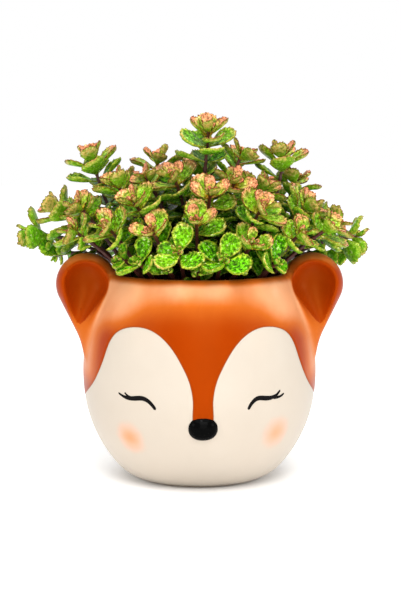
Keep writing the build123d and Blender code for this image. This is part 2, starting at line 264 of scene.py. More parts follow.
floorLook = {
    "half": 4.0,  # metres
    "colour": (0.93, 0.93, 0.93),
    "glow": (0.0, 0.50),  # under the foot and away from it
    "fade": (0.022, 0.074),  # metres from the middle, where the glow begins and where it is whole
    "oval": (1.0, 0.75, 1.0),
}

# the floor glows away from the foot, so only the foot's shadow is seen and no line against the background
floorRecipe = Recipe("paleFloor")
oval = floorRecipe.vectorMath("MULTIPLY", floorRecipe.place, floorLook["oval"])
fromMiddle = floorRecipe.vectorMath("LENGTH", oval, output="Value")
floorRecipe.set(
    Base_Color=floorLook["colour"], Roughness=0.9, Specular_IOR_Level=0.0, Emission_Color=(1.0, 1.0, 1.0),
    Emission_Strength=floorRecipe.fade(fromMiddle, *floorLook["fade"], *floorLook["glow"]),
)
half = floorLook["half"]
floorMesh = bpy.data.meshes.new("floor")
floorCorners = [(-half, -half, 0), (half, -half, 0), (half, half, 0), (-half, half, 0)]
floorMesh.from_pydata(floorCorners, [], [(0, 1, 2, 3)])
floorMesh.materials.append(floorRecipe.material)
floor = bpy.data.objects.new("floor", floorMesh)
bpy.context.scene.collection.objects.link(floor)

studio = {
    "seenWhite": 1.0,
    "ambient": 0.20,
    "lampAim": (0.0, 0.0, 0.1),
    # name, kind, place, metres across and watts, and for the sky degrees across and watts a square metre
    "lamps": [
        ("skyLamp", "SUN", (-0.05, -0.27, 1.1), 60, 1.5),
        ("frontLamp", "AREA", (0.08, -0.82, 0.76), 0.55, 4.4),
        ("lowLamp", "AREA", (0.06, -1.05, 0.27), 0.50, 1.9),
        ("topLamp", "AREA", (-0.06, -0.36, 0.95), 0.12, 1.6),
        ("leftLamp", "AREA", (-0.80, -0.45, 0.40), 0.40, 2.1),
        ("rightLamp", "AREA", (0.80, -0.45, 0.40), 0.40, 2.2),
    ],
}

# the walls are white to the eye and in the gloss, and a dim even light to the planter
world = bpy.data.worlds.new("studio")
bpy.context.scene.world = world
world.use_nodes = True
worldNodes, worldLinks = world.node_tree.nodes, world.node_tree.links
background = worldNodes["Background"]
background.inputs["Color"].default_value = (1.0, 1.0, 1.0, 1.0)
seen = worldNodes.new("ShaderNodeLightPath")
eyeOrGloss = worldNodes.new("ShaderNodeMath")
eyeOrGloss.operation = "MAXIMUM"
wallLight = worldNodes.new("ShaderNodeMapRange")
wallLight.inputs["To Min"].default_value = studio["ambient"]
wallLight.inputs["To Max"].default_value = studio["seenWhite"]
worldLinks.new(seen.outputs["Is Camera Ray"], eyeOrGloss.inputs[0])
worldLinks.new(seen.outputs["Is Glossy Ray"], eyeOrGloss.inputs[1])
worldLinks.new(eyeOrGloss.outputs["Value"], wallLight.inputs["Value"])
worldLinks.new(wallLight.outputs["Result"], background.inputs["Strength"])

for name, kind, place, size, power in studio["lamps"]:
    lamp = bpy.data.objects.new(name, bpy.data.lights.new(name, kind))
    bpy.context.scene.collection.objects.link(lamp)
    if kind == "SUN":
        lamp.data.angle = math.radians(size)
    else:
        lamp.data.size = size
    lamp.data.energy = power
    lamp.location = place
    lamp.rotation_euler = (Vector(place) - Vector(studio["lampAim"])).to_track_quat("Z", "Y").to_euler()
print("camera, floor and lamps")


# pot: the drawn shell with the ears and the muzzle blended into it

pot = {
    "height": 115.5,
    "belly": 65.3,
    "side": [
        (0.500, 0.0), (0.622, 0.030), (0.744, 0.094), (0.850, 0.182), (0.942, 0.299),
        (0.998, 0.472), (0.996, 0.595), (0.957, 0.732), (0.880, 0.861), (0.816, 0.965),
    ],
    "wall": 6.0,
    "floorTop": 9.0,
    "floorEdge": 34.6,
    "mouth": 45.6,
    "lip": 2.2,
    "footRecess": (18.0, 3.0),
    "drainHole": 6.0,
    "muzzle": (32.0, 3.0, 38.1),  # radius of the ball, how far it swells out, height
    "muzzleBlend": 8.0,
    "earBlend": 7.0,
    "scoopBlend": 2.2,
    "mouthBlend": 0.6,
    "footBlend": 0.8,
    "pitch": 1.25,  # of the first grid, halved once
    "gridLow": (-83.0, -74.0, -2.0),
    "gridHigh": (83.0, 70.0, 131.0),
}
ear = {"centre": (62.8, -8.0, 110.0), "radius": 17.1, "drop": 37.8, "depth": 13.3, "lean": 0.0, "nod": -9.0}
scoop = {
    "centre": (63.4, -21.5, 111.4), "radius": 12.4, "drop": 30.0, "depth": 13.0, "lean": -12.0, "nod": 8.0,
}


def distanceTable(outline, low, high, step):
    # signed distance to a closed outline, negative inside it, on a flat grid
    across = np.arange(low[0], high[0] + step, step)
    up = np.arange(low[1], high[1] + step, step)
    px, py = np.meshgrid(across, up, indexing="ij")
    nearest = np.full(px.shape, 1e9)
    inside = np.zeros(px.shape, bool)
    outline = np.asarray(outline, float)
    for (x0, y0), (x1, y1) in zip(outline, np.roll(outline, -1, axis=0)):
        dx, dy = x1 - x0, y1 - y0
        along = np.clip(((px - x0) * dx + (py - y0) * dy) / max(dx * dx + dy * dy, 1e-12), 0, 1)
        nearest = np.minimum(nearest, np.hypot(px - x0 - along * dx, py - y0 - along * dy))
        if y0 != y1:
            crosses = ((y0 > py) != (y1 > py)) & (px < (x1 - x0) * (py - y0) / (y1 - y0) + x0)
            inside ^= crosses
    return {"low": low, "step": step, "values": np.where(inside, -nearest, nearest)}


def readTable(table, across, up):
    values, step = table["values"], table["step"]
    gx = np.clip((across - table["low"][0]) / step, 0, values.shape[0] - 1.001)
    gy = np.clip((up - table["low"][1]) / step, 0, values.shape[1] - 1.001)
    ix, iy = gx.astype(int), gy.astype(int)
    fx, fy = gx - ix, gy - iy
    low = values[ix, iy] * (1 - fx) + values[ix + 1, iy] * fx
    high = values[ix, iy + 1] * (1 - fx) + values[ix + 1, iy + 1] * fx
    return low * (1 - fy) + high * fy


def arcTo(start, tangent, end, count):
    # points of the arc that leaves start along tangent and ends at end
    start, end = np.array(start), np.array(end)
    normal = np.array([-tangent[1], tangent[0]]) / math.hypot(*tangent)
    gap = end - start
    radius = gap @ gap / (2 * (gap @ normal))
    centre = start + normal * radius
    first = math.atan2(*(start - centre)[::-1])
    last = math.atan2(*(end - centre)[::-1])
    turn = (last - first + math.pi) % (2 * math.pi) - math.pi
    angles = [first + turn * k / count for k in range(1, count + 1)]
    return [centre + abs(radius) * np.array([math.cos(angle), math.sin(angle)]) for angle in angles]


# the outlines are closed well past the edges of the tables that they go into
axisSide, farAround, farUp = -30.0, 260.0, 150.0
potTable = {"low": (0, -6), "high": (90, 136), "step": 0.5}

sidePoints = [(radius * pot["belly"], height * pot["height"]) for radius, height in pot["side"]]
sideCurve = naturalCurve(sidePoints, 120)
mouthEdge = (pot["mouth"] + pot["lip"], pot["height"])
shoulder = arcTo(sideCurve[-1], sideCurve[-1] - sideCurve[-2], mouthEdge, 10)
outerOutline = [(axisSide, 0.0), *sideCurve, *shoulder, (axisSide, pot["height"])]

innerPoints = [(pot["floorEdge"], pot["floorTop"])]
for before, here, after in zip(sidePoints, sidePoints[1:], sidePoints[2:]):
    run, rise = after[0] - before[0], after[1] - before[1]
    length = math.hypot(run, rise)
    moved = (here[0] - pot["wall"] * rise / length, here[1] + pot["wall"] * run / length)
    if pot["floorTop"] + pot["wall"] < moved[1] < pot["height"] - 2 * pot["lip"]:
        innerPoints.append(moved)
innerPoints.append((pot["mouth"], pot["height"] - pot["lip"]))
innerCurve = naturalCurve(innerPoints, 120)
innerLip = arcTo(innerPoints[-1], (0.0, 1.0), mouthEdge, 6)
cavityOutline = [
    (axisSide, pot["floorTop"]), *innerCurve, *innerLip, (mouthEdge[0], farUp), (axisSide, farUp),
]

outerTable = distanceTable(outerOutline, **potTable)
cavityTable = distanceTable(cavityOutline, **potTable)


def softUnion(first, second, reach):
    share = np.clip(0.5 + 0.5 * (second - first) / reach, 0, 1)
    return second * (1 - share) + first * share - reach * share * (1 - share)


def softCut(first, second, reach):
    return -softUnion(-first, second, reach)


def teardropField(form, x, y, z):
    # a round body drawn down to a point, flattened front to back
    nod, lean = math.radians(form["nod"]), math.radians(form["lean"])
    cx, cy, cz = form["centre"]
    x, y, z = x - cx, y - cy, z - cz
    y, z = y * math.cos(nod) + z * math.sin(nod), -y * math.sin(nod) + z * math.cos(nod)
    x, z = x * math.cos(lean) - z * math.sin(lean), x * math.sin(lean) + z * math.cos(lean)
    flat = form["depth"] / form["radius"]
    y = y / flat
    radius, drop = form["radius"], form["drop"]
    sine = radius / drop
    cosine = math.sqrt(1 - sine * sine)
    out = np.hypot(x, y)
    whole = np.maximum(np.hypot(out, z), 1e-6)
    along = out * sine + (z + drop) * cosine
    side = out * cosine - z * sine - radius
    tapered = along < drop * cosine
    field = np.where(tapered, side, whole - radius)
    field = np.where(along < 0, np.hypot(out, z + drop), field)
    flatness = np.where(tapered, cosine, out / whole) * np.abs(y) / np.maximum(out, 1e-6)
    return field / np.sqrt(1 + flatness ** 2 * (1 / flat ** 2 - 1))


muzzleRadius, muzzleSwell, muzzleHeight = pot["muzzle"]
lowSide, highSide = [(a, b) for a, b in zip(sidePoints, sidePoints[1:]) if a[1] <= muzzleHeight <= b[1]][0]
muzzleSlope = math.atan2(highSide[0] - lowSide[0], highSide[1] - lowSide[1])
muzzleDeep = muzzleRadius - muzzleSwell
sideRadii, sideHeights = zip(*sidePoints)
muzzleFront = np.interp(muzzleHeight, sideHeights, sideRadii) - muzzleDeep * math.cos(muzzleSlope)
muzzleMiddle = muzzleHeight + muzzleDeep * math.sin(muzzleSlope)


def outsideField(x, y, z):
    head = readTable(outerTable, np.hypot(x, y), z)
    muzzle = np.sqrt(x * x + (y + muzzleFront) ** 2 + (z - muzzleMiddle) ** 2) - muzzleRadius
    head = softUnion(head, muzzle, pot["muzzleBlend"])
    return softUnion(head, teardropField(ear, np.abs(x), y, z), pot["earBlend"])


def potField(x, y, z):
    radius = np.hypot(x, y)
    solid = outsideField(x, y, z)
    solid = softCut(solid, teardropField(scoop, np.abs(x), y, z), pot["scoopBlend"])
    solid = softCut(solid, readTable(cavityTable, radius, z), pot["mouthBlend"])
    recessRadius, recessDepth = pot["footRecess"]
    solid = softCut(solid, np.maximum(radius - recessRadius, z - recessDepth), pot["footBlend"])
    return softCut(solid, radius - pot["drainHole"], pot["footBlend"])


def slopeOf(field, points, reach=0.05):
    slopes = []
    for axis in range(3):
        step = np.zeros(3)
        step[axis] = reach
        slopes.append((field(*(points + step).T) - field(*(points - step).T)) / (2 * reach))
    return np.stack(slopes, axis=1)


def settle(field, points, rounds):
    # moves points straight onto the surface of a field
    for _ in range(rounds):
        slope = slopeOf(field, points)
        points = points - (field(*points.T) / np.maximum((slope ** 2).sum(1), 0.05))[:, None] * slope
    return points


def skinOf(field, low, high, pitch):
    # quads of the surface where a field is zero: one point in each grid cell that it passes through
    axes = [np.arange(a, b + pitch, pitch) for a, b in zip(low, high)]
    values = np.stack([field(*np.meshgrid([x], axes[1], axes[2], indexing="ij"))[0] for x in axes[0]])
    inside = values < 0
    cellCounts = [count - 1 for count in inside.shape]
    corners = np.zeros(cellCounts, int)
    for corner in np.ndindex(2, 2, 2):
        corners += inside[tuple(slice(k, k + count) for k, count in zip(corner, cellCounts))]
    crossed = (corners > 0) & (corners < 8)
    number = np.full(crossed.shape, -1)
    number[crossed] = np.arange(crossed.sum())
    cells = np.argwhere(crossed)
    points = np.array(low) + (cells + 0.5) * pitch
    quads = []
    for axis in range(3):
        other, third = (axis + 1) % 3, (axis + 2) % 3
        first = inside.take(range(inside.shape[axis] - 1), axis)
        second = inside.take(range(1, inside.shape[axis]), axis)
        for changed, turned in ((first & ~second, False), (~first & second, True)):
            at = np.argwhere(changed)
            within = [(at[:, k] > 0) & (at[:, k] < crossed.shape[k]) for k in (other, third)]
            at = at[within[0] & within[1]]
            ring = []
            for a, b in ((0, 0), (1, 0), (1, 1), (0, 1)):
                cell = at.copy()
                cell[:, other] -= 1 - a
                cell[:, third] -= 1 - b
                ring.append(number[cell[:, 0], cell[:, 1], cell[:, 2]])
            ring = np.stack(ring, axis=1)
            quads.append(ring[:, ::-1] if turned else ring)
    return points, np.concatenate(quads)


def halved(points, quads):
    # every quad cut in four
    edges = np.sort(np.stack([quads, np.roll(quads, -1, axis=1)], axis=2).reshape(-1, 2), axis=1)
    keys, where = np.unique(edges[:, 0].astype(np.int64) * len(points) + edges[:, 1], return_inverse=True)
    where = where.reshape(-1, 4)
    ends = np.stack([keys // len(points), keys % len(points)], axis=1)
    middles = points[ends].mean(1)
    centres = points[quads].mean(1)
    firstMiddle, firstCentre = len(points), len(points) + len(middles)
    centre = firstCentre + np.arange(len(quads))
    where += firstMiddle
    parts = [np.stack([quads[:, k], where[:, k], centre, where[:, k - 1]], axis=1) for k in range(4)]
    return np.concatenate([points, middles, centres]), np.concatenate(parts)


# the painted face, as degrees round from the front and height

face = {
    "orangeEdge": [  # from the nose up the stripe, over the cheek and round to the back
        (0.0, 34.0), (3.6, 38.0), (4.8, 44.0), (4.6, 50.5), (5.2, 57.6), (6.8, 64.0),
        (9.6, 70.7), (13.4, 77.7), (17.6, 83.1), (22.8, 87.3), (29.0, 89.9), (36.0, 90.5),
        (42.9, 89.3), (48.8, 86.1), (52.5, 80.1), (55.2, 72.1), (58.8, 64.9), (65.0, 57.5),
        (75.0, 51.5), (90.0, 46.0), (110.0, 41.5), (135.0, 38.5), (160.0, 37.1), (180.0, 36.7),
    ],
    "groove": (0.35, 0.7),  # depth and width of the line between the glazes
    "crease": (0.8, 5.0, 82.0, 106.0),  # depth and width, and the heights between which it deepens
    "browSwell": (0.9, 11.0, 7.5, 104.0, 8.0),  # size, aside, width, height on the pot, reach up and down
    # painted highlight, where the orange is drawn paler: from and to, in mm of height or degrees round, and
    # how much at most
    "sheenTop": (85.0, 114.0, 0.66),
    "sheenCorners": [(30.0, 54.0, 80.0, 98.0, 0.62), (54.0, 72.0, 50.0, 66.0, 0.70)],  # by the ears, the sides
    # painted highlight spots on the brow and beside it, drawn as paler orange
    "paintedShine": [  # degrees round, height, reach aside and up, how much
        (-13.0, 111.0, 11.5, 7.0, 0.44), (8.0, 111.0, 7.5, 7.0, 0.40),
        (-44.0, 106.0, 15.0, 11.0, 0.30), (44.0, 105.0, 16.0, 12.0, 0.38),
    ],
    "lessSheenAtBack": (80.0, 112.0, 0.85),
    "lessSheenAtRim": (111.0, 115.0, 0.55),
    "earReach": (0.6, 4.0),
    # painted highlight on the ears, paler where their skin looks up and lower down
    "earSheenUpward": (0.30, 0.80, 0.55),  # by how far the ear's skin looks up
    "earSheenBelow": (84.0, 104.0, 0.50),
    "scoopSkin": 1.6,
    "scoopDeep": 9.0,
    "rimLine": (0.1, 0.75, 50.0),  # over the pot's height, its width, and how far from the axis
    "blush": {-1: (40.4, 29.9, 0.95), 1: (41.2, 32.4, 0.80)},  # degrees, height, strength
    "lashes": {  # strokes of each eye: degrees, height, half width in mm
        -1: [
            [
                (43.6, 54.9, 0.38), (41.6, 53.8, 0.55), (39.2, 52.9, 0.80), (36.4, 52.6, 1.00),
                (33.0, 52.9, 1.08), (29.9, 53.2, 1.08), (27.6, 52.6, 1.00), (25.6, 51.2, 0.90),
                (23.9, 49.3, 0.80), (22.6, 47.4, 0.70),
            ],
            [(39.6, 55.4, 0.38), (38.6, 54.5, 0.48), (37.0, 53.4, 0.62), (34.6, 52.8, 0.70)],
        ],
        1: [
            [
                (40.0, 56.5, 0.45), (39.0, 55.2, 0.62), (37.4, 53.8, 0.80), (35.0, 52.9, 0.98),
                (31.6, 52.8, 1.08), (28.6, 53.2, 1.08), (26.4, 53.0, 1.02), (24.5, 51.7, 0.90),
                (23.0, 49.8, 0.80), (21.8, 47.4, 0.72),
            ],
            [(42.6, 54.4, 0.42), (41.2, 53.4, 0.52), (39.0, 52.7, 0.66), (35.6, 52.7, 0.74)],
        ],
    },
}


def roundAt(height):
    return np.interp(height, sideCurve[:, 1], sideCurve[:, 0])


edgePoints = [(math.radians(degrees) * roundAt(height), height) for degrees, height in face["orangeEdge"]]
edgeCurve = naturalCurve(edgePoints, 260)
edgeOutline = [
    (axisSide, edgeCurve[0][1]), *edgeCurve,
    (farAround, edgeCurve[-1][1]), (farAround, farUp), (axisSide, farUp),
]
orangeTable = distanceTable(edgeOutline, (0, -4), (230, 136), 0.5)

potPoints, potQuads = skinOf(potField, pot["gridLow"], pot["gridHigh"], pot["pitch"])
potPoints = settle(potField, potPoints, 4)
potPoints, potQuads = halved(potPoints, potQuads)
potPoints = settle(potField, potPoints, 2)
potPoints[:, 2] = np.maximum(potPoints[:, 2], 0.0)
slope = unit(slopeOf(potField, potPoints))


def faceShares(x, y, z):
    # how far each point of the shell is inside the cream, how much painted highlight it takes, how deep in an
    # ear's scoop it lies for painted shade, and how near the rim
    depth = -outsideField(x, y, z)
    outer = np.abs(depth) < 1.0
    angle = np.arctan2(x, -y)
    cream = np.where(outer, readTable(orangeTable, np.abs(angle) * roundAt(z), z), -40.0)
    degreesRound = np.degrees(np.abs(angle))

    def rising(values, span):
        return span[2] * smoothShare(values, span[0], span[1])

    # painted highlight: the orange is drawn paler under the rim, by the ears, in spots on the brow and where
    # the ears look up
    paintedSheen = rising(z, face["sheenTop"])
    for aroundFrom, aroundTo, *heights in face["sheenCorners"]:
        paintedSheen = 1 - (1 - paintedSheen) * (1 - rising(z, heights) * smoothShare(degreesRound, aroundFrom, aroundTo))
    for degrees, height, reachAside, reachUp, amount in face["paintedShine"]:
        aside = (angle - math.radians(degrees)) * roundAt(height)
        paintedSheen = paintedSheen + amount * bell(aside, reachAside) * bell(z - height, reachUp)
    paintedSheen *= (1 - rising(degreesRound, face["lessSheenAtBack"])) * (1 - rising(z, face["lessSheenAtRim"]))
    onEar = 1 - smoothShare(np.abs(teardropField(ear, np.abs(x), y, z)), *face["earReach"])
    paintedSheen = paintedSheen * (1 - onEar) + onEar * rising(slope[:, 2], face["earSheenUpward"])
    paintedSheen += onEar * (face["earSheenBelow"][2] - rising(z, face["earSheenBelow"])) * (slope[:, 1] < 0.3)

    # painted shade: darker the deeper a point of an ear's scoop lies below the ear's outside
    inScoop = (depth > 0.3) & (np.abs(teardropField(scoop, np.abs(x), y, z)) < face["scoopSkin"])
    paintedScoopShade = inScoop * np.clip(depth / face["scoopDeep"], 0, 1)
    overRim, rimWidth, rimReach = face["rimLine"]
    rim = bell(z - pot["height"] - overRim, rimWidth) * (np.hypot(x, y) < rimReach)
    return {"creamDistance": cream, "paintedScoopShade": paintedScoopShade, "crest": rim, "paintedSheen": paintedSheen * outer}, outer


def faceRelief(x, y, z, cream, outer):
    # the groove between the glazes, the crease over the nose and the brows beside it
    fromFront = np.abs(np.arctan2(x, -y)) * roundAt(z)
    grooveDepth, grooveWidth = face["groove"]
    depth, width, heightFrom, heightTo = face["crease"]
    brow = -depth * bell(fromFront, width) * smoothShare(z, heightFrom, heightTo)
    swell, aside, width, browHeight, reachUp = face["browSwell"]
    brow += swell * bell(fromFront - aside, width) * bell(z - browHeight, reachUp)
    belowRim = np.clip((pot["height"] - 0.5 - z) / 4, 0, 1) * outer * (y < 0)
    return brow * belowRim - grooveDepth * bell(cream, grooveWidth)


glazeShares, isOuter = faceShares(*potPoints.T)
potPoints = potPoints + slope * faceRelief(*potPoints.T, glazeShares["creamDistance"], isOuter)[:, None]


def paintedGlaze():
    glaze = Recipe("paintedGlaze")
    mottle = glaze.noise(55, 4, 0.55)
    glaze.tone = glaze.blendOf(mottle, (0.29, 0.028, 0.0002), (0.35, 0.037, 0.0003))

    # painted highlight as paler orange on the brow, the sides and the ears, painted shade as darker orange
    # deep in the ears' scoops, and darker along the rim
    paintedSheen = glaze.times(glaze.number("paintedSheen"), glaze.fade(mottle, 0.2, 0.8, 0.85, 1.0))
    glaze.lay(glaze.fade(paintedSheen, 0.0, 0.6), (0.54, 0.120, 0.013))
    glaze.lay(glaze.fade(paintedSheen, 0.4, 1.0), (0.76, 0.35, 0.17))
    glaze.lay(glaze.fade(paintedSheen, 0.95, 1.3), (0.84, 0.58, 0.40))
    # painted shade deep in the ears' scoops
    glaze.lay(glaze.fade(glaze.number("paintedScoopShade"), 0.15, 0.95, 0.0, 0.70), (0.26, 0.030, 0.0006))
    glaze.lay(glaze.fade(glaze.number("crest"), 0.3, 0.9, 0.0, 0.6), (0.30, 0.10, 0.02))

    # cream with two soft cheeks
    cream = glaze.blendOf(mottle, (0.535, 0.470, 0.392), (0.570, 0.510, 0.432))
    for side, (degrees, height, amount) in face["blush"].items():
        angle, radius = math.radians(side * degrees), roundAt(height)
        spot = (radius * math.sin(angle) * mm, -radius * math.cos(angle) * mm, height * mm)
        fromSpot = glaze.vectorMath("DISTANCE", glaze.place, spot, "Value")
        spread = glaze.plus(fromSpot, glaze.times(glaze.noise(160, 3), 0.003))
        cream = glaze.blendOf(glaze.fade(spread, 0.001, 0.0135, amount, 0.0), cream, (0.86, 0.31, 0.15))

    # the two glazes meet in a fine dark line
    wobble = glaze.plus(glaze.number("creamDistance"), glaze.times(glaze.noise(700, 2), 0.12))
    glaze.lay(glaze.fade(wobble, 0.0, 0.12), cream)
    line = glaze.math("ABSOLUTE", glaze.plus(wobble, 0.1))
    glaze.lay(glaze.fade(line, 0.12, 0.42, 0.75, 0.0), (0.22, 0.055, 0.010))
    axes = glaze.add("ShaderNodeSeparateXYZ")
    glaze.feed(axes.inputs[0], glaze.place)
    bareClay = glaze.fade(axes.outputs["Z"], 0.0002, 0.0009, 1.0, 0.0)  # under the foot
    glaze.lay(bareClay, (0.62, 0.50, 0.38))
    glaze.set(
        Base_Color=glaze.tone, Roughness=glaze.fade(mottle, 0.2, 0.8, 0.30, 0.40),
        Specular_IOR_Level=0.22, Specular_Tint=(1.0, 0.40, 0.06),
    )
    glaze.bump(mottle, 0.0006, 0.35)
    glaze.bump(glaze.noise(900, 2, 0.5), 0.00006, 0.5)
    return glaze.material


potPiece = makePiece("potShell", potPoints, potQuads, [paintedGlaze()], "pot_body", "orange_glaze", ["pot"])
for name, values in glazeShares.items():
    addNumbers(potPiece, name, values)
print("pot", len(potPoints), "points")


def onShell(degrees, height, proud=0.0):
    # a point of the shell's outside at an angle from the front, and the way out of it there
    angle = math.radians(degrees)
    radius = roundAt(height) + 4.0
    points = np.array([[radius * math.sin(angle), -radius * math.cos(angle), height]])
    for _ in range(6):
        gap = outsideField(*points.T)
        points[:, 0] -= gap * math.sin(angle)
        points[:, 1] += gap * math.cos(angle)
    way = unit(slopeOf(outsideField, points)[0])
    return points[0] + way * proud, way


paint = {"proud": 0.16, "sunk": 0.25, "broad": 1.3, "steps": 40, "sides": 8, "blunt": 0.02}

blackPaint = plainRecipe("blackPaint", (400,), (0.004, 0.004, 0.004), (0.010, 0.008, 0.008), 0.5, 0.02)
blackPaint.bump(blackPaint.noise(700), 0.00004, 0.5)


def strokeMesh(stroke, side):
    # a low ridge of paint along a drawn line, round at both ends
    table, sides = np.array(stroke), paint["sides"]
    line = naturalCurve(table[:, :2], paint["steps"])
    places = np.linspace(0, len(table) - 1, len(line))
    widths = paint["broad"] * np.interp(places, np.arange(len(table)), table[:, 2])
    centres, ways = (np.array(v) for v in zip(*[onShell(side * degrees, height) for degrees, height in line]))
    across = np.cross(ways, unit(np.gradient(centres, axis=0)))
    length = np.concatenate([[0], np.cumsum(np.linalg.norm(np.diff(centres, axis=0), axis=1))])
    points = []
    for centre, way, aside, width, along in zip(centres, ways, across, widths, length):
        fromEnd = min(along, length[-1] - along)
        share = math.sqrt(max(paint["blunt"], 1 - max(0.0, 1 - fromEnd / width) ** 2))
        for k in range(sides + 1):
            angle = math.pi * (k / sides - 0.5)
            lift = paint["proud"] * math.cos(angle) * share - (paint["sunk"] if k in (0, sides) else 0)
            points.append(centre + aside * width * share * math.sin(angle) + way * lift)
    row = sides + 1
    starts = [i * row + k for i in range(len(line) - 1) for k in range(sides)]
    return points, [(k, k + 1, k + 1 + row, k + row) for k in starts]


for side, name in ((-1, "lashLeft"), (1, "lashRight")):
    lashPoints, lashQuads = [], []
    for stroke in face["lashes"][side]:
        strokePoints, strokeQuads = strokeMesh(stroke, side)
        # the right eye's quads are turned round, so that they look outward too
        lashQuads += [tuple(len(lashPoints) + k for k in quad)[::-side] for quad in strokeQuads]
        lashPoints += strokePoints
    makePiece(name, lashPoints, lashQuads, [blackPaint.material], "pot_body", "black_glaze")

nose = {
    "half": (8.1, 6.4, 6.6), "height": 37.6, "sunk": 2.9, "squareness": 2.3, "widerAbove": 0.05,
    "rows": 40, "turns": 64,
}


def noseMesh():
    middle, _ = onShell(0.0, nose["height"], -nose["sunk"])
    power = nose["squareness"]
    points = []
    for row in range(nose["rows"] + 1):
        for turn in range(nose["turns"]):
            rising = math.pi * row / nose["rows"]
            angle = 2 * math.pi * turn / nose["turns"]
            out = math.sin(rising)
            way = np.array([out * math.cos(angle), -math.cos(rising), out * math.sin(angle)])
            way = way / (abs(way) ** power).sum() ** (1 / power)
            way[0] *= 1 + nose["widerAbove"] * way[2]
            points.append(middle + way * np.array(nose["half"]))
    return points, [quad[::-1] for quad in latheFaces(nose["rows"] + 1, nose["turns"])]


blackGlaze = plainRecipe("blackGlaze", (300,), (0.001, 0.001, 0.001), (0.002, 0.002, 0.002), 0.06, 0.022)
blackGlaze.bump(blackGlaze.noise(260), 0.0002, 0.15)
makePiece("noseBead", *noseMesh(), [blackGlaze.material], "pot_body", "black_glaze", ["nose"])
print("face painted")


# stonecrop: the stems and leaf frames as they are on the drawing

crown = {
    "halfWidth": 98.0, "halfDepth": 75.0, "height": 97.0, "soilTop": 106.5,
    "tips": [
        (0.045, -0.26, 0.91), (-0.61, 0.02, 0.755), (-0.24, 0.20, 0.74), (-0.82, 0.10, 0.46),
        (-0.97, 0.25, 0.30), (-0.47, -0.20, 0.61), (-0.15, -0.20, 0.65), (-0.03, -0.60, 0.41),
        (-0.27, -0.62, 0.36), (0.24, -0.03, 0.77), (0.19, -0.27, 0.62), (0.48, 0.07, 0.77),
        (0.56, 0.20, 0.62), (0.34, -0.48, 0.49), (0.60, -0.16, 0.49), (0.79, 0.05, 0.38),
        (0.92, 0.25, 0.28), (0.55, -0.44, 0.34), (0.71, -0.32, 0.36), (0.05, -0.44, 0.56),
        (-0.52, -0.46, 0.38), (-0.68, -0.16, 0.48), (-0.37, -0.38, 0.51), (-0.71, -0.31, 0.35),
        (-0.13, -0.64, 0.24), (-0.34, -0.56, 0.18), (0.11, -0.65, 0.20), (0.27, -0.57, 0.28),
        (0.41, -0.49, 0.17), (-0.02, -0.62, 0.13), (0.00, 0.42, 0.70), (-0.42, 0.38, 0.60),
        (0.40, 0.42, 0.56), (-0.70, 0.42, 0.40), (0.70, 0.44, 0.38), (-0.20, 0.72, 0.48),
        (0.22, 0.74, 0.46), (-0.52, 0.72, 0.30), (0.52, 0.72, 0.28), (0.00, 0.99, 0.26),
        (-0.30, 0.95, 0.20), (0.32, 0.93, 0.18), (-0.18, -0.58, 0.14), (0.20, -0.59, 0.14),
        (-0.43, -0.48, 0.20), (0.36, -0.14, 0.58), (-0.30, -0.10, 0.64), (0.02, 0.14, 0.68),
        (-0.83, 0.36, 0.17), (0.83, 0.37, 0.17),
    ],
    "lowRootShare": 0.72, "rootGatherShare": 0.42, "widestRoot": 35.2,
    "widestTip": 80.0, "frontNod": 22.0, "mostFront": 48.0, "mostTip": 78.0, "mostStart": 38.0, "twist": 42.0,
    "stemWidth": 1.9, "tipGap": 1.2, "stemFree": 7.0,
    "spacings": [0.0, 2.2, 3.0, 3.6, 4.2, 4.6, 4.8, 5.0, 5.2, 5.4, 5.6, 5.8, 6.0, 6.0, 6.0],
    "lengths": [9.5, 13.0, 15.5, 16.5, 16.5, 16.5, 16.5, 16.0, 15.5, 15.0, 14.5, 14.0, 13.5, 13.0, 12.5],
    "pitches": [36.0, 50.0, 59.0, 65.0, 69.0, 72.0, 75.0, 77.0, 79.0, 81.0, 82.0, 83.0, 84.0, 84.0, 84.0],
    "thickness": 1.2, "halfWidthShare": 0.40, "widestShare": 0.62,
    "seed": 11, "tries": 24, "skew": 12.0, "tilt": 8.0, "smallest": 0.45, "grownShare": 0.25,
    "grownLevels": 2, "step": 1.3, "leafReach": 0.6, "footLength": 3.2, "stemReach": 1.2,
    "pairAllowance": 0.35, "allowance": 0.75, "rimRoom": 1.9, "soilRoom": 1.2, "earRoom": 2.0,
    "earCentre": (0.962 * 65.3, -8.0, 0.952 * 115.5), "earRadius": 17.3, "earDepth": 13.5,
}


def added(point, *steps):
    x, y, z = point
    for length, (dx, dy, dz) in steps:
        x += length * dx
        y += length * dy
        z += length * dz
    return (x, y, z)


nowhere = (0.0, 0.0, 0.0)


def planStem(shares):
    across, back, up = shares
    tip = (across * crown["halfWidth"], back * crown["halfDepth"], crown["soilTop"] + up * crown["height"])
    tipRadius = math.hypot(tip[0], tip[1])
    rootRadius = min((crown["lowRootShare"] - crown["rootGatherShare"] * up) * tipRadius, crown["widestRoot"])
    root = (tip[0] * rootRadius / tipRadius, tip[1] * rootRadius / tipRadius, crown["soilTop"])
    out = math.hypot(tip[0] - root[0], tip[1] - root[1])
    rise = tip[2] - root[2]
    lean = math.atan2(out, rise)
    nod, most = (crown["frontNod"], crown["mostFront"]) if back < 0 else (0.0, crown["mostTip"])
    tipLean = math.radians(min(crown["widestTip"] * (1 - up) ** 2 + nod, most))
    start = min(2 * lean - tipLean, math.radians(crown["mostStart"]))
    turn = 2 * (lean - start)
    length = math.hypot(out, rise) * (turn / 2) / math.sin(turn / 2)
    away = ((tip[0] - root[0]) / out, (tip[1] - root[1]) / out, 0.0)
    skipped = crown["grownLevels"] if up < crown["grownShare"] else 0
    return {"root": root, "away": away, "start": start, "turn": turn, "length": length, "skipped": skipped}


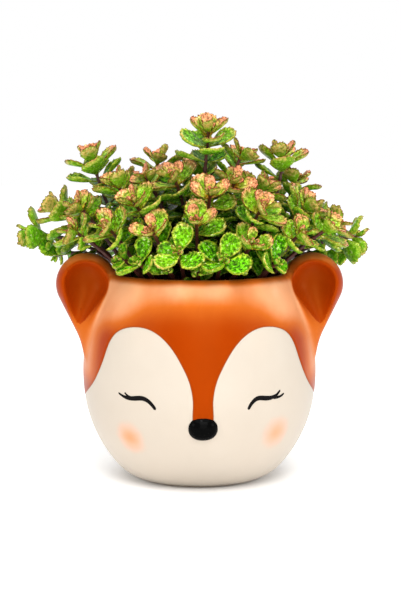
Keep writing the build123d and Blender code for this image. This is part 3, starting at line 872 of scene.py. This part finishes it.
def stemFrame(stem, along):
    start = stem["start"]
    lean = start + stem["turn"] * along / stem["length"]
    radius = stem["length"] / stem["turn"]
    out = radius * (math.cos(start) - math.cos(lean))
    rise = radius * (math.sin(lean) - math.sin(start))
    ax, ay, _ = stem["away"]
    up = (0.0, 0.0, 1.0)
    point = added(stem["root"], (out, stem["away"]), (rise, up))
    direction = added(nowhere, (math.sin(lean), stem["away"]), (math.cos(lean), up))
    normal = added(nowhere, (math.cos(lean), stem["away"]), (-math.sin(lean), up))
    return point, direction, normal, (-ay, ax, 0.0)


def planLeaf(stem, pair, quarter, pitch, skew, length):
    point, direction, normal, side = stemFrame(stem, pair["along"])
    turnedBack = -1 if quarter >= 2 else 1
    if quarter % 2 == 0:
        out = added(nowhere, (turnedBack, normal))
        across = added(nowhere, (turnedBack, side))
    else:
        out = added(nowhere, (turnedBack, side))
        across = added(nowhere, (-turnedBack, normal))
    straight = added(nowhere, (math.cos(pitch), direction), (math.sin(pitch), out))
    points = added(nowhere, (math.cos(skew), straight), (math.sin(skew), across))
    width = added(nowhere, (-math.sin(skew), straight), (math.cos(skew), across))
    foot = added(point, (crown["stemWidth"] / 2, out))
    lift = added(nowhere, (pair["thick"], direction))
    return {"foot": foot, "points": points, "width": width, "lift": lift, "length": length}


def leafSamples(leaf):
    halfWidth = crown["halfWidthShare"] * leaf["length"]
    widest = crown["widestShare"] * leaf["length"]
    stemHalf = crown["stemWidth"] / 2
    samples = []
    rows = int(leaf["length"] / crown["step"])
    for row in range(1, rows + 1):
        along = row * leaf["length"] / rows
        if along < widest:
            reach = stemHalf + (halfWidth - stemHalf) * along / widest
        else:
            reach = halfWidth * math.sqrt(max(0.0, 1 - ((along - widest) / (leaf["length"] - widest)) ** 2))
        columns = int(reach / crown["step"]) + 1
        for column in range(-columns, columns + 1):
            aside = column * reach / columns
            point = added(leaf["foot"], (along, leaf["points"]), (aside, leaf["width"]), (0.5, leaf["lift"]))
            samples.append((point, along < crown["footLength"]))
    return samples


def clearOfPot(point):
    x, y, z = point
    if math.hypot(x, y) > pot["mouth"] - crown["rimRoom"] and z < pot["height"] + crown["rimRoom"]:
        return False
    if z < crown["soilTop"] + crown["soilRoom"]:
        return False
    cx, cy, cz = crown["earCentre"]
    across = (abs(x) - cx) / (crown["earRadius"] + crown["earRoom"])
    deep = max(0.0, y - cy) / (crown["earDepth"] + crown["earRoom"])
    high = (z - cz) / (crown["earRadius"] + crown["earRoom"])
    return across * across + deep * deep + high * high > 1


def cellOf(point, size):
    return tuple(int(math.floor(value / size)) for value in point)


def planShoots():
    # the same draws in the same order as on the drawing, so that every leaf lies in its solid
    chance = random.Random(crown["seed"])
    cell = 2 * crown["stemReach"] + crown["allowance"]
    taken = {}

    def take(point, reach, owner, isFoot):
        taken.setdefault(cellOf(point, cell), []).append((point, reach, owner, isFoot))

    def hasRoom(point, owner, isFoot):
        cx, cy, cz = cellOf(point, cell)
        for near in [(cx + i, cy + j, cz + k) for i in (-1, 0, 1) for j in (-1, 0, 1) for k in (-1, 0, 1)]:
            for other, reach, otherOwner, otherIsFoot in taken.get(near, []):
                room = crown["leafReach"] + reach + crown["allowance"]
                if otherOwner == owner:
                    if isFoot or otherIsFoot:
                        continue
                    room = crown["leafReach"] + reach + crown["pairAllowance"]
                if math.dist(point, other) < room:
                    return False
        return True

    stems = [planStem(shares) for shares in crown["tips"]]
    for owner, stem in enumerate(stems):
        steps = int(stem["length"] / crown["step"])
        for step in range(steps + 1):
            take(stemFrame(stem, stem["length"] * step / steps)[0], crown["stemReach"], owner, True)
        stem["twist"] = chance.uniform(-crown["twist"], crown["twist"])
        stem["pairs"] = []
    for level in range(len(crown["spacings"])):
        for owner, stem in enumerate(stems):
            along = stem["length"] - crown["tipGap"] - sum(crown["spacings"][:level + 1])
            if along < crown["stemFree"]:
                continue
            age = min(level + stem["skipped"], len(crown["lengths"]) - 1)
            length, pitch = crown["lengths"][age], crown["pitches"][age]
            thick = crown["thickness"] / math.sin(math.radians(pitch))
            pair = {"along": along, "thick": thick, "level": age, "leaves": []}
            stem["pairs"].append(pair)
            for quarter in (level % 2, level % 2 + 2):
                for attempt in range(crown["tries"]):
                    skew = math.radians(stem["twist"] + chance.uniform(-crown["skew"], crown["skew"]))
                    tilt = math.radians(pitch + chance.uniform(-crown["tilt"], crown["tilt"]))
                    size = length * (1 - (1 - crown["smallest"]) * attempt / crown["tries"])
                    leaf = planLeaf(stem, pair, quarter, tilt, skew, size)
                    samples = leafSamples(leaf)
                    if all(clearOfPot(point) and hasRoom(point, owner, isFoot) for point, isFoot in samples):
                        pair["leaves"].append(leaf)
                        for point, isFoot in samples:
                            take(point, crown["leafReach"], owner, isFoot)
                        break
    return stems


shoots = planShoots()
leafCount = sum(len(pair["leaves"]) for stem in shoots for pair in stem["pairs"])
print("planned", len(shoots), "shoots and", leafCount, "leaves")


# stonecrop leaves: fleshy cupped spoons with a scalloped end

leafForm = {
    "grow": 1.06, "widen": 1.14, "youngWiden": 0.84,  # against the drawing
    "fullAt": 3.0,  # the pair that is full grown
    "rows": 15,  # steps along the outline on each side
    "rings": [0.0, 0.36, 0.66, 0.86, 0.965, 1.0],  # steps from the midrib to the edge
    "neck": 0.34, "widest": 0.58,  # share of the steps, and of the length, below the widest place
    "footWidth": 0.17, "footPower": 1.35, "endPowers": (0.95, 0.75),
    "anchor": (0.90, 0.76),  # the midrib ends this far up its row, and up the leaf
    "lobes": 4.0, "lobeDepth": 0.075,
    "flesh": 0.95,  # half thickness in mm in the middle
    "fleshRise": (0.45, 1.3),  # share at the foot, and how fast it is whole
    "plump": (0.85, 1.15), "fullLength": 24.0,
    "rib": 0.42, "ribWidth": 0.25,  # depth of the groove over the midrib in mm, and its share of the width
    "ribFade": 1.7, "lipFrom": 0.55, "ruffleFrom": 0.6,
    "cup": 0.13, "lip": 0.07, "droop": 0.05,  # shares of the length
    "cupRange": (0.6, 1.4), "droopRange": (-0.8, 1.6), "droopPower": 2.2,
    "roll": 15.0,  # degrees either way
    "ruffle": 0.22, "ruffleSteps": (1.2, 2.0),
    "boxRoom": 0.1, "smallest": 0.6, "smaller": 0.04,
}


def leafOutline(part):
    # how far along and aside the edge is, and how deep in a lobe
    neck, widest, foot = leafForm["neck"], leafForm["widest"], leafForm["footWidth"]
    if part < neck:
        share = part / neck
        return widest * share, foot + (1 - foot) * share ** leafForm["footPower"] * (1.75 - 0.75 * share), 0.0
    share = (part - neck) / (1 - neck)
    angle = share * math.pi / 2
    sinePower, cosinePower = leafForm["endPowers"]
    along = widest + (1 - widest) * math.sin(angle) ** sinePower
    aside = max(math.cos(angle), 0.0) ** cosinePower
    return along, aside, 0.5 - 0.5 * math.cos(2 * math.pi * leafForm["lobes"] * share)


def leafPattern():
    # the leaf's points as (along, aside, share of the way to the edge, top or under), and its quads
    rows, rings = leafForm["rows"], leafForm["rings"]
    upRow, upLeaf = leafForm["anchor"]
    number, points, quads = {}, [], []

    def pointAt(side, row, ring, layer):
        side = 0 if row == rows or ring == 0 else side
        layer = 0 if ring == len(rings) - 1 else layer
        key = (side, row, ring, layer)
        if key not in number:
            along, aside, lobe = leafOutline(row / rows)
            share = rings[ring]
            anchor = min(upRow * along, upLeaf)
            shrink = 1 - leafForm["lobeDepth"] * lobe * share ** 3
            x = anchor + (along - anchor) * share
            x = x * shrink if x > 0.5 else x
            number[key] = len(points)
            points.append((x, side * aside * share * shrink, share, layer, row))
        return number[key]

    for side in (-1, 1):
        for row in range(rows):
            for ring in range(len(rings) - 1):
                for layer in (1, -1):
                    corners = ((row, ring), (row + 1, ring), (row + 1, ring + 1), (row, ring + 1))
                    quad = [pointAt(side, r, k, layer) for r, k in corners]
                    quads.append(quad if side * layer > 0 else quad[::-1])
    return np.array(points), np.array(quads)


leafPoints, leafQuads = leafPattern()
roomLow = np.array(cadLow) / mm + leafForm["boxRoom"]
roomHigh = np.array(cadHigh) / mm - leafForm["boxRoom"]


def leafMesh(leaf, direction, level, chance):
    form = leafForm
    along, aside, share, layer, row = leafPoints.T
    length = leaf["length"] * form["grow"]
    widen = np.interp(level, [-1.0, form["fullAt"]], [form["youngWiden"], form["widen"]])
    halfWidth = crown["halfWidthShare"] * leaf["length"] * widen
    way, width = np.array(leaf["points"]), np.array(leaf["width"])
    normal = np.cross(way, width)
    normal *= 1 if normal @ np.array(direction) > 0 else -1
    roll = math.radians(chance.uniform(-form["roll"], form["roll"]))
    across = width * math.cos(roll) + normal * math.sin(roll)
    normal = normal * math.cos(roll) - width * math.sin(roll)
    plump = chance.uniform(*form["plump"]) * min(1.0, 0.5 + length / form["fullLength"])
    cup = chance.uniform(*form["cupRange"]) * form["cup"] * length
    droop = chance.uniform(*form["droopRange"]) * form["droop"] * length
    steps = row * chance.uniform(*form["ruffleSteps"]) + np.sign(aside) + chance.uniform(0, 6)
    atFoot, rise = form["fleshRise"]
    body = np.sqrt(np.maximum(1 - share ** 4, 0)) * np.clip(atFoot + rise * along, 0, 1)
    rib = bell(share, form["ribWidth"]) * np.clip(form["ribFade"] * (1 - along), 0, 1)
    lift = layer * form["flesh"] * plump * body
    lift -= np.where(layer > 0, form["rib"] * plump * rib, 0)
    lift += cup * (share * np.abs(aside)) ** 2
    lift += form["lip"] * length * share ** 2 * np.clip(along - form["lipFrom"], 0, 1) * 2
    lift += form["ruffle"] * np.sin(steps) * share ** 3 * np.clip(2 * along - form["ruffleFrom"], 0, 1)
    lift -= droop * along ** form["droopPower"]
    base = np.array(leaf["foot"]) + 0.5 * np.array(leaf["lift"])
    spread = (along * length)[:, None] * way + (aside * halfWidth)[:, None] * across + lift[:, None] * normal
    size = 1.0
    while size > form["smallest"]:
        if ((base + size * spread > roomLow) & (base + size * spread < roomHigh)).all():
            break
        size -= form["smaller"]  # a leaf that would pass the outermost one on the drawing is a smaller leaf
    return base + size * spread


def stonecropLeaf():
    skin = Recipe("stonecropLeaf")
    edge, lengthwise, young = skin.number("edge"), skin.number("lengthwise"), skin.number("young")
    own = skin.number("own")
    blotch, speck, patches = skin.noise(480, 4, 0.65), skin.noise(1050, 3, 0.6), skin.noise(620, 3, 0.6)
    uneven = skin.math("SUBTRACT", blotch, 0.5)
    skin.tone = skin.blendOf(skin.fade(blotch, 0.42, 0.57), (0.006, 0.075, 0.0004), (0.165, 0.70, 0.003))
    skin.lay(skin.times(own, 0.45), (0.34, 0.70, 0.008))
    lime = skin.blendOf(own, (0.55, 0.78, 0.016), (0.95, 0.92, 0.14))
    skin.lay(skin.fade(skin.plus(edge, skin.times(uneven, 1.5)), 0.62, 1.05, 0.0, 0.92), lime)

    # the young leaves blush from the end inward
    skin.lay(skin.times(young, 0.7), (0.66, 0.85, 0.06))
    outward = skin.plus(lengthwise, skin.times(uneven, 0.9))
    outward = skin.plus(outward, skin.times(skin.math("SUBTRACT", young, 1.0), 0.65))
    pink = skin.blendOf(blotch, (0.90, 0.11, 0.050), (1.0, 0.60, 0.30))
    skin.lay(skin.fade(outward, 0.22, 0.62), pink)
    skin.lay(skin.times(young, skin.fade(lengthwise, 0.05, 0.35, 0.9, 0.0)), (0.80, 0.17, 0.008))
    margin = skin.fade(skin.plus(edge, skin.times(speck, 0.8)), 1.24, 1.34)
    skin.lay(skin.times(margin, skin.fade(young, 0.0, 0.5, 0.35, 0.95)), (0.20, 0.010, 0.005))
    freckles = skin.times(skin.fade(speck, 0.56, 0.64), skin.fade(young, 0.0, 0.6, 0.10, 0.70))
    skin.lay(freckles, (0.22, 0.022, 0.008))

    # dark and pale patches, the pale ones partly the leaf's own speckle and partly painted glints, then the
    # under side and the shade inside the crown
    darker = skin.blendOf(1.0, skin.tone, (0.22, 0.32, 0.16), kind="MULTIPLY")
    skin.lay(skin.fade(patches, 0.40, 0.52, 0.86, 0.0), darker)
    # pale patches: partly the leaf's own speckle, partly painted glints
    skin.lay(skin.fade(patches, 0.60, 0.68, 0.0, 0.7), (0.90, 1.0, 0.42))
    skin.lay(skin.times(skin.number("under"), 0.5), (0.12, 0.36, 0.010))
    skin.lay(skin.number("deep"), (0.002, 0.010, 0.0006))
    skin.set(
        Base_Color=skin.tone, Roughness=skin.fade(speck, 0.35, 0.65, 0.12, 0.30),
        Specular_IOR_Level=0.12, Specular_Tint=(0.9, 1.0, 0.5),
    )
    skin.bump(blotch, 0.0009, 0.5)
    skin.bump(skin.cells(1500), 0.0002, 0.4)
    return skin.material


def stonecropStem():
    skin = Recipe("stonecropStem")
    skin.tone = skin.blendOf(skin.noise(500, 4), (0.022, 0.004, 0.003), (0.085, 0.018, 0.010))
    skin.lay(skin.fade(skin.number("young"), 0.2, 1.0, 0.0, 0.6), (0.11, 0.022, 0.006))
    skin.set(Base_Color=skin.tone, Roughness=0.45, Specular_IOR_Level=0.4)
    skin.bump(skin.noise(900, 3), 0.0002, 0.6)
    return skin.material


stemForm = {
    "sides": 9, "radius": 1.02, "tipRadius": 0.75, "tip": 1.2,
    "knot": 0.32, "knotLength": 0.9, "knotOver": 0.6,
    "buried": 3.0, "step": 1.6,
}


def stemMesh(stem):
    sides, buried = stemForm["sides"], stemForm["buried"]
    steps = int((stem["length"] + buried) / stemForm["step"])
    knots = np.array([pair["along"] + stemForm["knotOver"] for pair in stem["pairs"]])
    alongs = np.sort(np.concatenate([np.linspace(-buried, stem["length"], steps + 1), knots]))
    points, young = [], []
    for along in alongs:
        point, _, normal, side = (np.array(v) for v in stemFrame(stem, float(along)))
        part = max(0.0, along / stem["length"])
        radius = stemForm["radius"] + (stemForm["tipRadius"] - stemForm["radius"]) * part ** 3
        radius += stemForm["knot"] * bell(along - knots, stemForm["knotLength"]).sum()
        for k in range(sides):
            angle = 2 * math.pi * k / sides
            points.append(point + radius * (math.cos(angle) * normal + math.sin(angle) * side))
            young.append(part ** 4)
    faces = latheFaces(len(alongs), sides)
    end, direction, _, _ = stemFrame(stem, stem["length"])
    points.append(np.array(added(end, (stemForm["tip"], direction))))
    young.append(1.0)
    top = (len(alongs) - 1) * sides
    faces += [(top + k, top + (k + 1) % sides, len(points) - 1) for k in range(sides)]
    return points, faces, young


budForm = {
    "pairs": 3, "length": 5.0, "shrink": 0.72, "pitch": 32.0, "closing": 8.0, "rise": 0.9, "thick": 0.8,
}


def budLeaves(stem):
    # the closed small leaves at the very tip
    leaves = []
    for index in range(budForm["pairs"]):
        along = stem["length"] - crown["tipGap"] + budForm["rise"] * (index + 0.6)
        pair = {"along": along, "thick": budForm["thick"]}
        size = budForm["length"] * budForm["shrink"] ** index
        tilt = math.radians(budForm["pitch"] - budForm["closing"] * index)
        for quarter in ((index + 1) % 2, (index + 1) % 2 + 2):
            leaves.append((planLeaf(stem, pair, quarter, tilt, math.radians(stem["twist"]), size), along, -1))
    return leaves


leafTones = {
    "wholeTop": 3.6, "greenBelow": 0.16, "pinkAbove": 0.42,  # pairs that blush, and between which tip heights
    "shootRange": (0.75, 1.15), "levelRange": (-0.4, 0.4),
    "shadeFrom": 11.0, "shadeTo": 42.0,  # mm below the shoot's tip
    "outside": 0.72, "inside": 0.36,  # shares of the way out of the crown, lit and in shade
    "most": 0.95, "atFoot": 0.35,
}


def leafShade(stem, leaf, along, level):
    # how deep in the shade of the crown each point of a leaf lies
    low, high = leafTones["shadeFrom"], leafTones["shadeTo"]
    belowTip = (stem["length"] - along - low) / (high - low)
    x, y, z = added(leaf["foot"], (0.6 * leaf["length"], leaf["points"]))
    up = (z - crown["soilTop"]) / crown["height"]
    wayOut = math.hypot(x / crown["halfWidth"], y / crown["halfDepth"], up)
    buried = (leafTones["outside"] - wayOut) / (leafTones["outside"] - leafTones["inside"])
    deep = leafTones["most"] * min(max(belowTip, buried, 0.0), 1.0)
    nearFoot = np.clip(0.5 - leafPoints[:, 0], 0, 1) * (level > 2)
    return deep + (leafTones["most"] - deep) * leafTones["atFoot"] * nearFoot


stonecropMaterials = [stonecropLeaf(), stonecropStem()]
chance = random.Random(5)
for index, (stem, tipShares) in enumerate(zip(shoots, crown["tips"]), start=1):
    shootPoints, shootFaces, young = stemMesh(stem)
    stemFaces = len(shootFaces)
    numbers = {name: [0.0] * len(shootPoints) for name in ("edge", "lengthwise", "own", "under", "deep")}
    numbers["young"] = young
    blush = (tipShares[2] - leafTones["greenBelow"]) / (leafTones["pinkAbove"] - leafTones["greenBelow"])
    blush = min(max(blush, 0.0), 1.0) * chance.uniform(*leafTones["shootRange"])
    leaves = [(leaf, pair["along"], pair["level"]) for pair in stem["pairs"] for leaf in pair["leaves"]]
    for leaf, along, level in leaves + budLeaves(stem):
        shootFaces += (leafQuads + len(shootPoints)).tolist()
        shootPoints += list(leafMesh(leaf, stemFrame(stem, along)[1], level, chance))
        blushed = 1.0 - (level + chance.uniform(*leafTones["levelRange"])) / leafTones["wholeTop"]
        numbers["edge"] += leafPoints[:, 2].tolist()
        numbers["lengthwise"] += leafPoints[:, 0].tolist()
        numbers["young"] += [min(1.0, max(0.0, blushed * blush))] * len(leafPoints)
        numbers["own"] += [chance.random()] * len(leafPoints)
        numbers["under"] += (leafPoints[:, 3] < 0).astype(float).tolist()
        numbers["deep"] += leafShade(stem, leaf, along, level).tolist()
    nodes = [f"sprig_{index:02d}"]
    piece = makePiece(
        f"shoot{index:02d}", shootPoints, shootFaces, stonecropMaterials, "planting", "stonecrop", nodes,
    )
    for name, values in numbers.items():
        addNumbers(piece, name, values)
    leafFaces = len(shootFaces) - stemFaces
    piece.data.polygons.foreach_set("material_index", [1] * stemFaces + [0] * leafFaces)
print("stonecrop grown")


# soil, root ball, balls, net and stopper

def waves(points, scale, seed):
    # a smooth uneven number from -1 to 1 for each point
    draw = np.random.default_rng(seed)
    total = np.zeros(len(points))
    for octave in range(5):
        for direction in unit(draw.normal(size=(4, 3))):
            turns = points @ direction / scale * 1.7 ** octave
            total += np.sin(2 * math.pi * turns + draw.uniform(0, 7)) / 1.5 ** octave
    return total / 5


def soilRecipe(name, dark, light):
    soil = Recipe(name)
    grain, chips = soil.noise(450, 6, 0.7), soil.cells(260)
    soil.tone = soil.blendOf(soil.fade(grain, 0.35, 0.7), dark, light)
    soil.lay(soil.fade(chips, 0.0, 0.25, 0.5, 0.0), (0.16, 0.10, 0.06))
    soil.set(Base_Color=soil.tone, Roughness=0.92)
    soil.bump(grain, 0.002, 0.9)
    soil.bump(chips, 0.0015, 0.6)
    return soil.material


axisGap = 0.05  # of a turned outline, so that no faces meet on the axis
quarterTurn = math.pi / 2

rootBall = {
    "radius": 43.9, "bevel": 5.0, "turns": 120,
    "under": (0.6, 0.5), "over": 0.8,  # how far inside the drawn ends
    "sideEnds": (8.0, 7.0), "bumpSize": 22, "flatFrom": 2.5,
}

ballLow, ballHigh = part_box("root_ball")
ballBottom, ballTop = ballLow.z / mm, ballHigh.z / mm


def rootBallMesh():
    radius, bevel = rootBall["radius"], rootBall["bevel"]
    flat, top = radius - bevel, ballTop - rootBall["over"]
    edgeUp, middleUp = (ballBottom + up for up in rootBall["under"])
    sideFrom, sideTo = ballBottom + rootBall["sideEnds"][0], ballTop - rootBall["sideEnds"][1]
    outline = [(axisGap, edgeUp), (20, middleUp), (flat, edgeUp)]
    outline += arcPoints((flat, middleUp + bevel), bevel, 0.3 - quarterTurn, 0, 5)
    outline += [(radius, height) for height in np.linspace(sideFrom, sideTo, 34)]
    outline += arcPoints((flat, top - bevel), bevel, 0, quarterTurn, 5)
    outline += [(reach, top) for reach in np.linspace(flat - 2, axisGap, 20)]
    points = lathe(outline, rootBall["turns"])
    outward = points * np.array([1, 1, 0]) / np.maximum(np.hypot(points[:, 0], points[:, 1]), 1)[:, None]
    bumps = waves(points, rootBall["bumpSize"], 3)
    onTop = points[:, 2] > ballTop - rootBall["flatFrom"]
    points -= outward * (0.5 + 0.5 * bumps)[:, None] * np.where(onTop, 0.0, 0.9)[:, None]
    points[:, 2] += np.where(onTop, 0.7 * bumps, 0.0)
    return points, latheFaces(len(outline), rootBall["turns"])


ballSoil = soilRecipe("rootBallMix", (0.018, 0.011, 0.007), (0.070, 0.042, 0.026))
makePiece("rootBallMix", *rootBallMesh(), [ballSoil], "planting", "root_ball_mix", ["root_ball"])

crumbForm = {
    "count": 260, "size": (0.8, 2.4), "stretch": [(0.8, 1.9), (0.6, 1.1), (0.4, 0.8)], "jog": (0.75, 1.2),
    "fromEdge": 5.0, "sunk": 0.6,
    "corners": [(1, 0, 0), (-1, 0, 0), (0, 1, 0), (0, -1, 0), (0, 0, 1), (0, 0, -1)],
    "faces": [(0, 2, 4), (2, 1, 4), (1, 3, 4), (3, 0, 4), (2, 0, 5), (1, 2, 5), (3, 1, 5), (0, 3, 5)],
}


def crumbMesh():
    # crumbs of bark and grit lying on the mix
    chance = random.Random(9)
    points, faces = [], []
    for _ in range(crumbForm["count"]):
        radius = (rootBall["radius"] - crumbForm["fromEdge"]) * math.sqrt(chance.random())
        angle = chance.uniform(0, 2 * math.pi)
        size = chance.uniform(*crumbForm["size"]) / 2
        turn = chance.uniform(0, math.pi)
        reach = [chance.uniform(*span) * size for span in crumbForm["stretch"]]
        faces += [tuple(len(points) + k for k in face) for face in crumbForm["faces"]]
        for corner in crumbForm["corners"]:
            x, y, z = (share * length for share, length in zip(corner, reach))
            x, y = x * math.cos(turn) - y * math.sin(turn), x * math.sin(turn) + y * math.cos(turn)
            jog = chance.uniform(*crumbForm["jog"])
            up = ballTop - crumbForm["sunk"] + z * jog
            points.append((radius * math.cos(angle) + x * jog, radius * math.sin(angle) + y * jog, up))
    return points, faces


crumb = Recipe("barkCrumbs")
crumbGrain = crumb.fade(crumb.noise(120, 2), 0.3, 0.7)
crumbTone = crumb.blendOf(crumbGrain, (0.035, 0.018, 0.010), (0.17, 0.10, 0.055))
crumb.set(Base_Color=crumbTone, Roughness=0.85)
crumb.bump(crumb.noise(900, 4), 0.0004, 0.8)
makePiece("barkCrumbs", *crumbMesh(), [crumb.material], "planting", "root_ball_mix", smooth=False)

backfill = {"turns": 120, "inner": 44.9, "inset": 0.5, "underBall": 0.4, "bumps": 0.45, "bumpSize": 14}

fillLow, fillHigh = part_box("soil_backfill")


def backfillMesh():
    bottom, top = fillLow.z / mm, fillHigh.z / mm
    inner, inset, bed = backfill["inner"], backfill["inset"], ballBottom - backfill["underBall"]
    wallRun = [(radius - inset, height) for radius, height in innerCurve if bottom < height < top - inset]
    outline = [(axisGap, bed), (inner, bed), (inner, top - 1.6), (inner + 1.0, top - 0.6)]
    outline += [(radius, top - inset) for radius in np.linspace(inner + 2, wallRun[-1][0] - 1, 5)]
    outline += wallRun[::-1][::3] + [(wallRun[0][0], bottom + 0.1), (axisGap, bottom + 0.1)]
    points = lathe(outline, backfill["turns"])
    bumps = backfill["bumps"] * waves(points, backfill["bumpSize"], 8)
    points[:, 2] += np.where(points[:, 2] > top - 0.8, bumps, 0.0)
    return points, latheFaces(len(outline), backfill["turns"])


fillSoil = soilRecipe("pottingMix", (0.014, 0.009, 0.006), (0.055, 0.034, 0.020))
makePiece("backfillMix", *backfillMesh(), [fillSoil], "pot_body", "potting_mix", ["soil_backfill"])

balls = {
    "radius": 5.8, "gap": 0.35, "rough": 0.05, "rows": 14, "turns": 22,
    "overNet": 0.8, "rings": 4, "reach": 0.95 * 0.53 * pot["belly"],
}


def clayBallMesh():
    # one layer of balls, packed like a honeycomb as far as the floor reaches
    angles = np.linspace(0, math.pi, balls["rows"])
    ball = lathe([(max(0.01, math.sin(angle)), -math.cos(angle)) for angle in angles], balls["turns"])
    pitch = 2 * balls["radius"] + balls["gap"]
    height = pot["floorTop"] + balls["overNet"] + balls["gap"] + balls["radius"]
    points, quads = [], []
    for row in range(-balls["rings"], balls["rings"] + 1):
        for column in range(-balls["rings"], balls["rings"] + 1):
            x, y = pitch * (column + (row % 2) / 2), pitch * row * math.sqrt(0.75)
            if math.hypot(x, y) <= balls["reach"]:
                bumps = waves(ball + np.array([row, column, 0]) * 3.1, 1.6, 4)
                size = balls["radius"] * (1 - balls["rough"] * (0.5 + 0.5 * bumps))
                faces = latheFaces(balls["rows"], balls["turns"])
                quads += [tuple(len(points) + k for k in quad) for quad in faces]
                points += list(ball * size[:, None] + np.array([x, y, height]))
    return points, quads


clay = plainRecipe("bakedClay", (200, 5, 0.7), (0.20, 0.075, 0.035), (0.46, 0.22, 0.12), 0.9)
clay.bump(clay.cells(900), 0.0006, 0.7)
clay.bump(clay.noise(300, 4), 0.001, 0.6)
makePiece("clayBalls", *clayBallMesh(), [clay.material], "pot_body", "clay_ball", ["gravel"])

plastic = plainRecipe("netPlastic", (300,), (0.012, 0.012, 0.012), (0.035, 0.035, 0.035), 0.55)
plastic.bump(plastic.noise(1500), 0.0001, 0.5)
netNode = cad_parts["drain_mesh"]
netNode.data.materials.clear()
netNode.data.materials.append(plastic.material)

stopper = {
    "head": (10.0, 0.6, 2.6),  # radius, and heights of its ends
    "shank": (5.94, 8.5),
    "round": 0.5, "turns": 72,
    "dimple": [(4.0, 0.5), (4.6, 0.1), (5.2, 0.0)],  # hollow under the head
    "axisGap": 0.02,
}


def stopperMesh():
    headRadius, headLow, headHigh = stopper["head"]
    shankRadius, shankTop = stopper["shank"]
    rounding, onAxis = stopper["round"], stopper["axisGap"]
    flat = headRadius - rounding
    outline = [(onAxis, headLow + 0.5)] + [(radius, headLow + up) for radius, up in stopper["dimple"]]
    outline += [(flat, headLow), *arcPoints((flat, headLow + rounding), rounding, 0.4 - quarterTurn, 0, 4)]
    outline += [(headRadius, headHigh - rounding), (headRadius - 0.15, headHigh - 0.15), (flat, headHigh)]
    outline += [(shankRadius + 0.3, headHigh), (shankRadius, headHigh + 0.3), (shankRadius, shankTop - 1.0)]
    outline += [(shankRadius - 0.3, shankTop - 0.3), (shankRadius - 1.0, shankTop), (onAxis, shankTop)]
    return lathe(outline, stopper["turns"]), latheFaces(len(outline), stopper["turns"])


rubber = plainRecipe("stopperRubber", (500, 4), (0.010, 0.010, 0.010), (0.030, 0.029, 0.028), 0.7)
rubber.set(Roughness=rubber.fade(rubber.noise(90), 0.3, 0.7, 0.6, 0.8))
rubber.bump(rubber.noise(1800), 0.0001, 0.6)
makePiece("rubberStopper", *stopperMesh(), [rubber.material], "stopper", "stopper_rubber", ["drain_plug"])
print("mix, balls, net and stopper")

bpy.context.view_layer.update()
